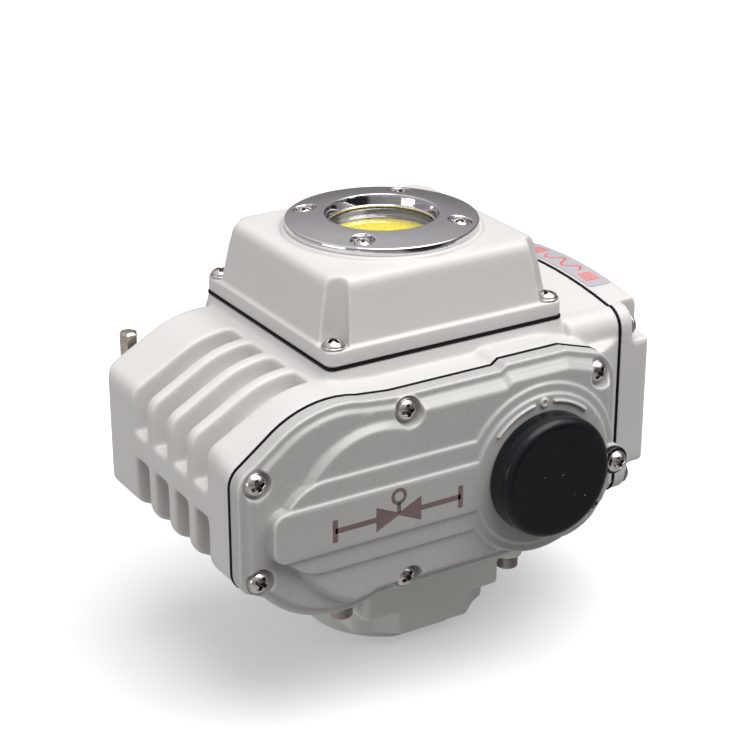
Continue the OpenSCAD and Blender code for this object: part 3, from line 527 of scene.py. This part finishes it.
def scoops(F, a):
    """The corner grooves follow the lean of the corners, so their sides run parallel up to the roof."""
    for sx in (-1, 1):
        for sy in (-1, 1):
            up = np.clip(F.z - (TOPZ + 6), 0, 60)
            r = np.sqrt((F.x - sx * (44.5 - 0.085 * up)) ** 2 + (F.y - sy * (41.0 - 0.085 * up)) ** 2)
            a = smax(a, -np.maximum(r - 5.2, TOPZ + 6.0 - F.z), 0.7)
    return a


top_ob = soft("top_cover", "top_casting", M_white, 0.4, 0.5, clip=2.4, regions=[(1.0, cover_top)], lim=160000, fill=cover_core, extra=scoops)
# painted shade: the inside of the window well gets a dark colour that stands for the little light getting in
M_well_shade = plastic("well_painted_shade", (0.045, 0.036, 0.036), 0.5, 0.3, 500.0, 0.2)
top_ob.data.materials.append(M_well_shade)
pc = np.empty(len(top_ob.data.polygons) * 3, F32)
top_ob.data.polygons.foreach_get("center", pc)
pc = pc.reshape(-1, 3) * 1000
inner = (np.hypot(pc[:, 0], pc[:, 1]) < 23.6) & (pc[:, 2] < COVZ + 1.2)
top_ob.data.polygons.foreach_set("material_index", inner.astype(np.int32))
def front_marks(F, a):
    """Solid seats under the screws, and crisp direction marks on the boss."""
    for (m, l, h) in centres("gear_cover_screws", "y"):
        r = np.sqrt((F.x - m[0]) ** 2 + (F.z - m[2]) ** 2)
        y = F.y - (l[1] + 3.0)          # the seat is at 0, the inside of the cover is on the plus side
        a = np.minimum(a, np.maximum(np.maximum(r - 5.1, 2.1 - r), np.maximum(-y, y - 1.8)))
        if -40 < m[0] < -20:            # the wall of the middle pockets, on the side of the hollow
            inside = (F.z - m[2]) * (1 if m[2] > 80 else -1) + 2.5
            a = np.minimum(a, np.maximum(np.maximum(np.maximum(r - 6.6, 5.0 - r), inside), np.maximum(-y - 2.0, y - 1.8)))
    u, w = F.x - WX, F.z - WZ
    r = np.sqrt(u ** 2 + w ** 2)
    ang = np.degrees(np.arctan2(w, u))
    lift = np.abs(F.y + FMAIN + 2.0) - 1.15
    for a0, a1 in ((99.5, 139), (47, 81.5)):
        band = np.maximum(np.abs(r - 25.95) - 0.5, np.radians(np.maximum(a0 - ang, ang - a1)) * 26)
        a = smin(a, np.maximum(band, lift), 0.25)
    cu, cw = 26 * math.cos(math.radians(91)), 26 * math.sin(math.radians(91))
    q = np.sqrt((u - cu) ** 2 + (w - cw) ** 2)
    a = smin(a, np.maximum(np.abs(q - 1.25) - 0.42, lift), 0.2)
    return a


soft("gear_cover", "front_casting", M_cover, 0.34, 0.36, clip=1.6, lim=195000, extra=front_marks,
     regions=[(0.3, lambda F: step01(F.y, -FRONT - 3.2, -FRONT - 1.8))])
soft("terminal_cover", "terminal_casting", M_white, 0.42, 0.8, clip=2.0, lim=120000,
     regions=[(0.35, lambda F: step01(-F.x, -SEAM - 2.8, -SEAM - 1.6))])
soft("base_block", "base_casting", M_grey, 0.42, 0.6, clip=1.8, lim=120000,
     regions=[(0.25, lambda F: 1 - step01(np.sqrt(F.x ** 2 + F.y ** 2) + 0 * F.z, 19.5, 21.0))])
for n_, m_, s_ in (("cable_glands", M_black, "black_plastic"), ("gland_nuts", M_black, "black_plastic"), ("key_clips", M_steel, "steel")):
    soft(n_, n_ + "_moulded", m_, 0.28, 0.3, clip=1.2, lim=60000)
soft("base_screws", "base_screws_plated", M_bolt, 0.3, 0.3, clip=1.2, lim=60000)

# ---------------------------------------------------------------- screws

def shell(name, lo_, hi_, step, f, adapt=0.03, lim=60000):
    F = Field(lo_, hi_, step, pad=4 * step)
    F.a = (f(F) + 0 * (F.x + F.y + F.z)).astype(F32)
    ob = F.mesh(name, adapt, lim)
    mark_edges(ob, F, blur(F.a, max(1.0, 0.5 / step)))
    return ob


def screw_mesh(name, hr, hh, sr, sl, washer=True):
    """Pan head with a cross recess, a spring washer under it, and its shank. Head foot at z = 0."""
    def f(F):
        r = np.sqrt(F.x ** 2 + F.y ** 2)
        rs = 1.16 * hr
        dome = np.sqrt(r ** 2 + (F.z - (hh - rs)) ** 2) - rs
        head = smax(smax(r - hr, dome, 0.75), -F.z, 0.12)
        d = hh - F.z
        for X, Y in ((F.x, F.y), (F.y, F.x)):
            arm = np.maximum(np.abs(X) - np.maximum(0.0, 0.68 * hr - 0.42 * d), np.abs(Y) - (0.185 * hr - 0.04 * d))
            arm = np.maximum(arm, d - 0.72 * hh)
            head = smax(head, -arm, 0.1)
        if washer:
            w = smax(np.abs(r - hr * 0.72) - hr * 0.31, np.abs(F.z - 0.28) - 0.3, 0.15)
            head = np.minimum(head, w)
        shank = np.maximum(r - sr, np.maximum(F.z - 0.6, -F.z - sl))
        return smin(head, shank, 0.1)
    ob = shell(name, (-hr - 0.3, -hr - 0.3, -sl), (hr + 0.3, hr + 0.3, hh), 0.15, f, 0.015, 24000)
    me = ob.data
    bpy.data.objects.remove(ob)
    return me


def place(name, me, spots, axis, mat, cad, body="housing"):
    """One object holding a copy of the screw at each spot. axis is the way the head faces."""
    q = Vector(axis).to_track_quat("Z", "Y").to_matrix().to_4x4()
    from mathutils import Matrix
    bm = bmesh.new()
    for i, (p, turn) in enumerate(spots):
        c = me.copy()
        c.transform(Matrix.Translation(Vector(p) * 0.001) @ q @ Matrix.Rotation(math.radians(turn), 4, "Z"))
        bm.from_mesh(c)
        bpy.data.meshes.remove(c)
    out = bpy.data.meshes.new(name)
    bm.to_mesh(out)
    bm.free()
    out.polygons.foreach_set("use_smooth", np.ones(len(out.polygons), bool))
    out.materials.clear()
    out.materials.append(mat)
    ob = bpy.data.objects.new(name, out)
    bpy.context.scene.collection.objects.link(ob)
    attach(ob, body)
    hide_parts(cad)
    return ob


me_m4 = screw_mesh("m4_screw", 4.1, 3.0, 1.85, 6.0)
me_bz = screw_mesh("bezel_screw", 3.5, 2.4, 1.6, 5.0, washer=False)
me_tab = screw_mesh("tab_screw", 3.9, 2.8, 1.38, 8.0)
turns = [18, 63, 40, 5, 77, 52, 30]
sp = [((m[0], m[1], h[2] - 3.0), turns[i]) for i, (m, l, h) in enumerate(centres("top_cover_screws", "z"))]
place("top_cover_screw_set", me_m4, sp, (0, 0, 1), M_steel_scr, "top_cover_screws")
sp = [((m[0], m[1], h[2] - 2.4), turns[i + 1]) for i, (m, l, h) in enumerate(centres("bezel_screws", "z"))]
place("bezel_screw_set", me_bz, sp, (0, 0, 1), M_steel_scr, "bezel_screws")
sp = [((m[0], l[1] + 3.0, m[2]), turns[i]) for i, (m, l, h) in enumerate(centres("gear_cover_screws", "y"))]
place("gear_cover_screw_set", me_m4, sp, (0, -1, 0), M_steel_scr, "gear_cover_screws")
sp = [((h[0] - 3.0, m[1], m[2]), turns[i + 2]) for i, (m, l, h) in enumerate(centres("terminal_cover_screws", "x"))]
place("terminal_cover_screw_set", me_m4, sp, (1, 0, 0), M_steel_scr, "terminal_cover_screws")
sp = [((m[0], l[1] + 2.8, m[2]), 20) for i, (m, l, h) in enumerate(centres("cap_tab_screw", "y"))]
TAB = centres("cap_tab", "y")[0]
place("tab_screw_set", me_tab, sp, (0, -1, 0), M_steel_scr, "cap_tab_screw")

# ---------------------------------------------------------------- bezel, cap, tab

def bezel(F):
    r = np.sqrt(F.x ** 2 + F.y ** 2)
    z = F.z - COVZ
    n_ = math.hypot(1.8, 11.3)
    cone = ((r - 23.2) * 1.8 + (z - 6.0) * 11.3) / n_
    k = 0.42
    a = smax(z - 6.0, cone, 0.9)
    a = smax(a, r - BEZR, 0.75)
    a = smax(a, (20.6 - 0.24 * (6.0 - z)) - r, k)      # the bore opens a little towards the top
    a = np.minimum(a, np.maximum(np.maximum(19.1 - r, r - 22), np.maximum(z - 1.95, 1.3 - z)))   # thin ring at its foot
    a = smax(a, 1.3 - z, 0.2)
    for (m, l, h) in centres("bezel_screws", "z"):
        rr = np.sqrt((F.x - m[0]) ** 2 + (F.y - m[1]) ** 2)
        a = smax(a, -np.maximum(rr - 4.3, 3.0 - z), 0.35)
        a = np.maximum(a, 2.0 - rr)
    return a


b_ = shell("bezel_ring", (-BEZR, -BEZR, COVZ + 1.3), (BEZR, BEZR, COVZ + 6), 0.24, bezel, 0.01, 150000)
b_.data.materials.append(M_chrome)
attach(b_, "housing"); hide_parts("window_bezel")

clo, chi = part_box("override_cap")
CY0, CY1, CR = -clo.y * 1000, -chi.y * 1000, (chi.x - clo.x) * 500


def cap(F):
    r = np.sqrt((F.x - WX) ** 2 + (F.z - WZ) ** 2)
    y = -F.y
    edge = 3.0
    q0, q1 = r - (CR - edge), y - (CY0 - edge)
    body_ = np.sqrt(np.maximum(q0, 0) ** 2 + np.maximum(q1, 0) ** 2) + np.minimum(np.maximum(q0, q1), 0) - edge
    # a very slight dish of the front and a soft foot
    body_ = body_ + 0.16 * np.exp(-(r / 13.0) ** 2) * (y > CY0 - 3)
    body_ = smax(body_, CY1 - y, 0.8)
    bore = np.maximum(r - 17.05, y - (CY1 + 5.6))
    return smax(body_, -bore, 0.3)


c_ = shell("hand_cap", (WX - CR, -CY0, WZ - CR), (WX + CR, -CY1, WZ + CR), 0.3, cap, 0.01, 120000)
c_.data.materials.append(M_cap)
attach(c_, "cap"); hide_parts("override_cap")

(tm, tl, th_) = TAB


def tab(F):
    cx, cz = 54.0, 75.2
    r = np.sqrt((F.x - cx) ** 2 + (F.z - cz) ** 2)
    a = smax(r - 5.2, np.abs(F.y - tm[1]) - (th_[1] - tl[1]) / 2, 0.9)
    # short neck of the strap that runs back to the cap
    dx, dz = WX - cx, WZ - cz
    L = math.hypot(dx, dz)
    ux, uz = dx / L, dz / L
    t = (F.x - cx) * ux + (F.z - cz) * uz
    s = -(F.x - cx) * uz + (F.z - cz) * ux
    neck = np.maximum(np.abs(s) - 3.2, np.maximum(-t, t - (L - CR - 0.9)))
    neck = smax(neck, np.abs(F.y - tm[1]) - (th_[1] - tl[1]) / 2 + 0.25, 0.6)
    a = smin(a, neck, 1.2)
    return smax(a, 1.6 - r, 0.3)


t_ = shell("strap_eye", (WX + CR, tl[1], 69), (60, th_[1], 82), 0.2, tab, 0.02, 40000)
t_.data.materials.append(M_cap)
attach(t_, "housing"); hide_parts("cap_tab")

# ---------------------------------------------------------------- hex key: bent rod with chamfered ends
klo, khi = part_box("hex_key")
kx, ky, kz0, kz1 = -81.0, (klo.y + khi.y) * 500, 80.0, khi.z * 1000
kend = khi.x * 1000
R6 = 3.0 / math.cos(math.radians(30))
path = [((kx, ky, kz1), (0, 0, -1), 0.62), ((kx, ky, kz1 - 0.25), (0, 0, -1), 0.80), ((kx, ky, kz1 - 0.9), (0, 0, -1), 1.0)]
for i in range(6):
    path.append(((kx, ky, kz1 - 3 - 5.0 * i), (0, 0, -1), 1.0)) if kz1 - 3 - 5.0 * i > kz0 + 6.5 else None
for i in range(17):
    t = math.radians(90 * i / 16)
    path.append(((kx + 6 - 6 * math.cos(t), ky, kz0 + 6 - 6 * math.sin(t)), (math.sin(t), 0, -math.cos(t)), 1.0))
for i in range(1, 12):
    x = kx + 6 + (kend - kx - 6.9) * i / 11
    path.append(((x, ky, kz0), (1, 0, 0), 1.0))
path += [((kend - 0.25, ky, kz0), (1, 0, 0), 0.80), ((kend, ky, kz0), (1, 0, 0), 0.62)]
prof = []
for k in range(6):
    a0 = math.radians(60 * k)
    for d in (-5, 0, 5):
        a1 = a0 + math.radians(d)
        rr = R6 * math.cos(math.radians(30)) / math.cos(math.radians(30 - abs(d)))
        prof.append((rr * (0.985 if d == 0 else 1.0) * math.cos(a1), rr * (0.985 if d == 0 else 1.0) * math.sin(a1)))
bm = bmesh.new()
rings = []
for p, t, s in path:
    T = Vector(t)
    N = Vector((0, 1, 0))
    B = T.cross(N)
    rings.append([bm.verts.new((Vector(p) + N * (v * s) + B * (u * s)) * 0.001) for u, v in prof])
for a, b in zip(rings, rings[1:]):
    for k in range(len(prof)):
        bm.faces.new((a[k], a[(k + 1) % len(prof)], b[(k + 1) % len(prof)], b[k]))
bm.faces.new(list(reversed(rings[0])))
bm.faces.new(rings[-1])
bmesh.ops.recalc_face_normals(bm, faces=bm.faces)
me = bpy.data.meshes.new("hand_key_rod")
bm.to_mesh(me)
bm.free()
me.materials.append(M_key)
me.polygons.foreach_set("use_smooth", np.ones(len(me.polygons), bool))
try:
    me.set_sharp_from_angle(angle=math.radians(22))
except Exception as ex:
    print("sharp", ex)
k_ = bpy.data.objects.new("hand_key_rod", me)
bpy.context.scene.collection.objects.link(k_)
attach(k_, "key"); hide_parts("hex_key")

# ---------------------------------------------------------------- prints

def slab(name, polys, mat, body="housing"):
    """Thin closed shapes: polys are lists of (bottom points, top points) in millimetres."""
    bm = bmesh.new()
    for bot, top in polys:
        b = [bm.verts.new(Vector(p) * 0.001) for p in bot]
        t = [bm.verts.new(Vector(p) * 0.001) for p in top]
        n = len(b)
        bm.faces.new(t)
        bm.faces.new(list(reversed(b)))
        for k in range(n):
            bm.faces.new((b[k], b[(k + 1) % n], t[(k + 1) % n], t[k]))
    bmesh.ops.recalc_face_normals(bm, faces=bm.faces)
    me = bpy.data.meshes.new(name)
    bm.to_mesh(me)
    bm.free()
    me.materials.append(mat)
    ob = bpy.data.objects.new(name, me)
    bpy.context.scene.collection.objects.link(ob)
    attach(ob, body)
    return ob


def on_panel(pts, y=None):
    y0 = -(FMAIN + 2) + 0.02
    return [(x, y0, z) for x, z in pts], [(x, y0 - 0.05, z) for x, z in pts]


def thick(a, b, w):
    (x0, z0), (x1, z1) = a, b
    L = math.hypot(x1 - x0, z1 - z0)
    nx, nz = -(z1 - z0) / L * w / 2, (x1 - x0) / L * w / 2
    return [(x0 + nx, z0 + nz), (x1 + nx, z1 + nz), (x1 - nx, z1 - nz), (x0 - nx, z0 - nz)]


sym = []
cx0, cz0 = -36.0, 76.6
# a valve between two pipe lines, its stem and a round drive above it: a drawing symbol
sym.append([(cx0 - 9.0, cz0 - 4.6), (cx0 - 9.0, cz0 + 4.6), (cx0, cz0 + 0.5), (cx0, cz0 - 0.5)])
sym.append([(cx0 + 9.0, cz0 - 4.6), (cx0 + 9.0, cz0 + 4.6), (cx0, cz0 + 0.5), (cx0, cz0 - 0.5)])
sym.append(thick((cx0 - 25, cz0), (cx0 - 9, cz0), 2.0))
sym.append(thick((cx0 + 9, cz0), (cx0 + 25, cz0), 2.0))
sym.append(thick((cx0 - 25, cz0 - 4.2), (cx0 - 25, cz0 + 4.2), 2.0))
sym.append(thick((cx0 + 25, cz0 - 4.2), (cx0 + 25, cz0 + 4.2), 2.0))
sym.append(thick((cx0, cz0 + 0.4), (cx0, cz0 + 4.0), 1.6))
n = 28
for k in range(n):
    a0, a1 = 2 * math.pi * k / n, 2 * math.pi * (k + 1) / n
    sym.append([(cx0 + r * math.cos(t), cz0 + 6.6 + r * math.sin(t)) for r, t in ((3.1, a0), (3.1, a1), (1.8, a1), (1.8, a0))])
slab("panel_symbol", [on_panel(p) for p in sym], M_ink)

# sticker on the crown of the terminal cover, blank but for a wave mark between two bars
slo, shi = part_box("voltage_label")
sx0, sx1, sy0, sy1 = slo.x * 1000, shi.x * 1000, slo.y * 1000, shi.y * 1000


def crown(y, up):
    return 125.2 - 4.2 * (y / 42.0) ** 2 + up


def strip(u0, u1, v0, v1, up0, up1, n=30, rc=0.0):
    polys = []
    bot, top = [], []
    ys = [v0 + (v1 - v0) * i / n for i in range(n + 1)]
    def ends(y):
        if rc <= 0:
            return u0, u1
        d = min(y - v0, v1 - y)
        if d >= rc:
            return u0, u1
        c = rc - math.sqrt(max(0.0, rc * rc - (rc - d) ** 2))
        return u0 + c, u1 - c
    return ys, ends


def curved(name, ys, ends, up0, up1, mat, cad=None):
    bm = bmesh.new()
    rows = []
    for y in ys:
        a, b = ends(y)
        rows.append([bm.verts.new(Vector((x, y, crown(y, u))) * 0.001) for x, u in ((a, up0), (b, up0), (b, up1), (a, up1))])
    for r0, r1 in zip(rows, rows[1:]):
        for k in range(4):
            bm.faces.new((r0[k], r0[(k + 1) % 4], r1[(k + 1) % 4], r1[k]))
    bm.faces.new(rows[0])
    bm.faces.new(list(reversed(rows[-1])))
    bmesh.ops.recalc_face_normals(bm, faces=bm.faces)
    me = bpy.data.meshes.new(name)
    bm.to_mesh(me)
    bm.free()
    me.materials.append(mat)
    ob = bpy.data.objects.new(name, me)
    bpy.context.scene.collection.objects.link(ob)
    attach(ob, "housing")
    if cad:
        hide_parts(cad)
    return ob


ys, ends = strip(sx0, sx1, sy0, sy1, 0, 0, 60, 1.2)
curved("crown_sticker", ys, ends, 0.02, 0.14, M_sticker, "voltage_label")
bm = bmesh.new()


def quad_on(pts):
    b = [bm.verts.new(Vector((x, y, crown(y, 0.12))) * 0.001) for x, y in pts]
    t = [bm.verts.new(Vector((x, y, crown(y, 0.155))) * 0.001) for x, y in pts]
    n_ = len(b)
    bm.faces.new(t)
    bm.faces.new(list(reversed(b)))
    for k in range(n_):
        bm.faces.new((b[k], b[(k + 1) % n_], t[(k + 1) % n_], t[k]))


mx_ = (sx0 + sx1) / 2
ymid = (sy0 + sy1) / 2
for s in (-1, 1):
    for k in range(5):
        y0_, y1_ = ymid + s * (13.0 + 1.4 * k), ymid + s * (13.8 + 1.4 * k)
        quad_on([(mx_ - 3.2, y0_), (mx_ + 3.2, y0_), (mx_ + 3.2, y1_), (mx_ - 3.2, y1_)])
prev = None
for k in range(49):
    y_ = ymid - 10 + 20 * k / 48
    x_ = mx_ + 2.6 * math.sin(2 * math.pi * k / 24)
    if prev:
        (px, py) = prev
        quad_on(thick((px, py), (x_, y_), 0.9))
    prev = (x_, y_)
bmesh.ops.recalc_face_normals(bm, faces=bm.faces)
me = bpy.data.meshes.new("sticker_mark")
bm.to_mesh(me)
bm.free()
me.materials.append(M_inkred)
o_ = bpy.data.objects.new("sticker_mark", me)
bpy.context.scene.collection.objects.link(o_)
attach(o_, "housing")

# ---------------------------------------------------------------- finishes of the CAD pieces that stay
FIN = {
    "gasket": M_gasket, "cap_rubber": M_cap, "stainless": M_steel_scr, "chrome": M_chrome, "glass": M_glass, "steel": M_steel,
    "dark_steel": M_bolt, "bronze": M_bronze, "copper": M_copper, "aluminium": M_alu, "yellow_plastic": M_yellow, "red_plastic": M_red,
    "white_plastic": M_ivory, "black_plastic": M_black, "green_plastic": M_green, "paint_white": M_white, "paint_grey": M_grey, "label": M_sticker,
}
slots = {s["node"]: s["material_slot"] for s in frame["record"]["subparts"]}
for n_, ob in NODES.items():
    ob.data.materials.clear()
    ob.data.materials.append(FIN[slots[n_]])

# ---------------------------------------------------------------- floor, light, camera
bpy.ops.mesh.primitive_plane_add(size=6.0, location=(0, 0, -0.0004))
floor = bpy.context.object
floor.name = "studio_floor"
fm, fnt, fp = new_mat("floor_white")
fv = coords(fnt)
fnt.links.new(ramp(fnt, noise(fnt, fv, 3.0, 2.0, 0.5), [(0.3, (0.64, 0.64, 0.64)), (0.7, (0.65, 0.65, 0.65))]), fp.inputs["Base Color"])
fp.inputs["Roughness"].default_value = 0.9
fp.inputs["Emission Color"].default_value = (1, 1, 1, 1)      # a lit table, so the shadow stays light
fp.inputs["Emission Strength"].default_value = 0.27
fp.inputs["Specular IOR Level"].default_value = 0.1
floor.data.materials.append(fm)
floor.visible_diffuse = False      # the room, not the floor, gives the light from below
floor.visible_glossy = False

sc = bpy.context.scene
w = bpy.data.worlds.new("studio")
sc.world = w
w.use_nodes = True
wt = w.node_tree
for n_ in list(wt.nodes):
    wt.nodes.remove(n_)
out = wt.nodes.new("ShaderNodeOutputWorld")
bg = wt.nodes.new("ShaderNodeBackground")
bgc = wt.nodes.new("ShaderNodeBackground")
mx = wt.nodes.new("ShaderNodeMixShader")
lp = wt.nodes.new("ShaderNodeLightPath")
tc = wt.nodes.new("ShaderNodeTexCoord")
sep = wt.nodes.new("ShaderNodeSeparateXYZ")
wt.links.new(tc.outputs["Generated"], sep.inputs[0])
cr = wt.nodes.new("ShaderNodeValToRGB")
cr.color_ramp.elements[0].position, cr.color_ramp.elements[0].color = 0.0, (0.56, 0.556, 0.544, 1)
cr.color_ramp.elements[1].position, cr.color_ramp.elements[1].color = 1.0, (0.75, 0.75, 0.75, 1)
for p_, c_col in ((0.42, (0.35, 0.348, 0.34)), (0.5, (0.20, 0.196, 0.195)), (0.56, (0.22, 0.216, 0.218)), (0.68, (0.36, 0.345, 0.355)), (0.8, (0.50, 0.495, 0.50))):
    e_ = cr.color_ramp.elements.new(p_)
    e_.color = (*c_col, 1)
zz = wt.nodes.new("ShaderNodeMapRange")
zz.inputs["From Min"].default_value, zz.inputs["From Max"].default_value = -1.0, 1.0
wt.links.new(sep.outputs["Z"], zz.inputs["Value"])
wt.links.new(zz.outputs["Result"], cr.inputs[0])
side = wt.nodes.new("ShaderNodeMapRange")     # more light from the left, less from the front
side.inputs["From Min"].default_value, side.inputs["From Max"].default_value = -1.0, 1.0
side.inputs["To Min"].default_value, side.inputs["To Max"].default_value = 0.62, 1.5
comb = wt.nodes.new("ShaderNodeVectorMath")
comb.operation = "DOT_PRODUCT"
comb.inputs[1].default_value = (-0.86, 0.5, 0.0)
wt.links.new(tc.outputs["Generated"], comb.inputs[0])
wt.links.new(comb.outputs["Value"], side.inputs["Value"])
sc_ = wt.nodes.new("ShaderNodeVectorMath")
sc_.operation = "SCALE"
wt.links.new(cr.outputs[0], sc_.inputs[0])
wt.links.new(side.outputs["Result"], sc_.inputs["Scale"])
# a dark screen low down in front, to the right, for the chrome to show
dk = wt.nodes.new("ShaderNodeVectorMath")
dk.operation = "DOT_PRODUCT"
dk.inputs[1].default_value = (0.34, -0.94, 0.0)
wt.links.new(tc.outputs["Generated"], dk.inputs[0])
dm = wt.nodes.new("ShaderNodeMapRange")
dm.inputs["From Min"].default_value, dm.inputs["From Max"].default_value = 0.86, 0.93
dm.inputs["To Min"].default_value, dm.inputs["To Max"].default_value = 1.0, 0.12
wt.links.new(dk.outputs["Value"], dm.inputs["Value"])
sd_ = wt.nodes.new("ShaderNodeVectorMath")
sd_.operation = "SCALE"
wt.links.new(sc_.outputs[0], sd_.inputs[0])
wt.links.new(dm.outputs["Result"], sd_.inputs["Scale"])
# a soft box above, in front and to the right
sb = wt.nodes.new("ShaderNodeVectorMath")
sb.operation = "DOT_PRODUCT"
sb.inputs[1].default_value = Vector((0.5, -0.45, 0.74)).normalized()
wt.links.new(tc.outputs["Generated"], sb.inputs[0])
sm_ = wt.nodes.new("ShaderNodeMapRange")
sm_.interpolation_type = "SMOOTHSTEP"
sm_.inputs["From Min"].default_value, sm_.inputs["From Max"].default_value = 0.84, 0.96
sm_.inputs["To Min"].default_value, sm_.inputs["To Max"].default_value = 0.0, 1.25
wt.links.new(sb.outputs["Value"], sm_.inputs["Value"])
ad_ = wt.nodes.new("ShaderNodeVectorMath")
ad_.operation = "ADD"
wt.links.new(sd_.outputs[0], ad_.inputs[0])
wt.links.new(sm_.outputs["Result"], ad_.inputs[1])
wt.links.new(ad_.outputs[0], bg.inputs["Color"])
bg.inputs["Strength"].default_value = 1.0
bgc.inputs["Color"].default_value = (1.0, 1.0, 1.0, 1)
bgc.inputs["Strength"].default_value = 1.0
wt.links.new(lp.outputs["Is Camera Ray"], mx.inputs[0])
wt.links.new(bg.outputs[0], mx.inputs[1])
wt.links.new(bgc.outputs[0], mx.inputs[2])
wt.links.new(mx.outputs[0], out.inputs[0])


def area(name, loc, target, size, power, color=(1, 1, 1)):
    l = bpy.data.lights.new(name, "AREA")
    l.shape = "RECTANGLE"
    l.size, l.size_y = size
    l.energy = power
    l.color = color
    o = bpy.data.objects.new(name, l)
    bpy.context.scene.collection.objects.link(o)
    o.location = loc
    o.rotation_mode = "QUATERNION"
    o.rotation_quaternion = (Vector(target) - Vector(loc)).to_track_quat("-Z", "Y")
    return o


sun = bpy.data.lights.new("sky_panel", "SUN")
sun.energy = 2.8
sun.angle = math.radians(60)
sun.color = (1.0, 0.992, 0.98)
so = bpy.data.objects.new("sky_panel", sun)
sc.collection.objects.link(so)
so.rotation_mode = "QUATERNION"
so.rotation_quaternion = Vector((-0.14, 0.26, -1.0)).to_track_quat("-Z", "Y")
area("side_panel", (-1.3, -0.05, 0.22), (0, 0, 0.09), (0.7, 0.4), 1.7, (1.0, 0.985, 0.97))

cam = bpy.data.cameras.new("cam")
cam.lens = 98.06
cam.sensor_width = 36.0
cam.clip_start, cam.clip_end = 0.02, 20
co_ = bpy.data.objects.new("cam", cam)
sc.collection.objects.link(co_)
co_.location = (-0.36525, -0.59235, 0.39159)
az, el = math.radians(-31.459), math.radians(23.138)
back = Vector((math.sin(az) * math.cos(el), -math.cos(az) * math.cos(el), math.sin(el)))
right = Vector((math.cos(az), math.sin(az), 0))
up = back.cross(right)
from mathutils import Matrix
co_.rotation_mode = "QUATERNION"
co_.rotation_quaternion = Matrix((right, up, back)).transposed().to_quaternion()
sc.camera = co_
sc.view_settings.view_transform = "Standard"
sc.view_settings.look = "None"
sc.view_settings.exposure = 0.0
sc.view_settings.gamma = 1.0
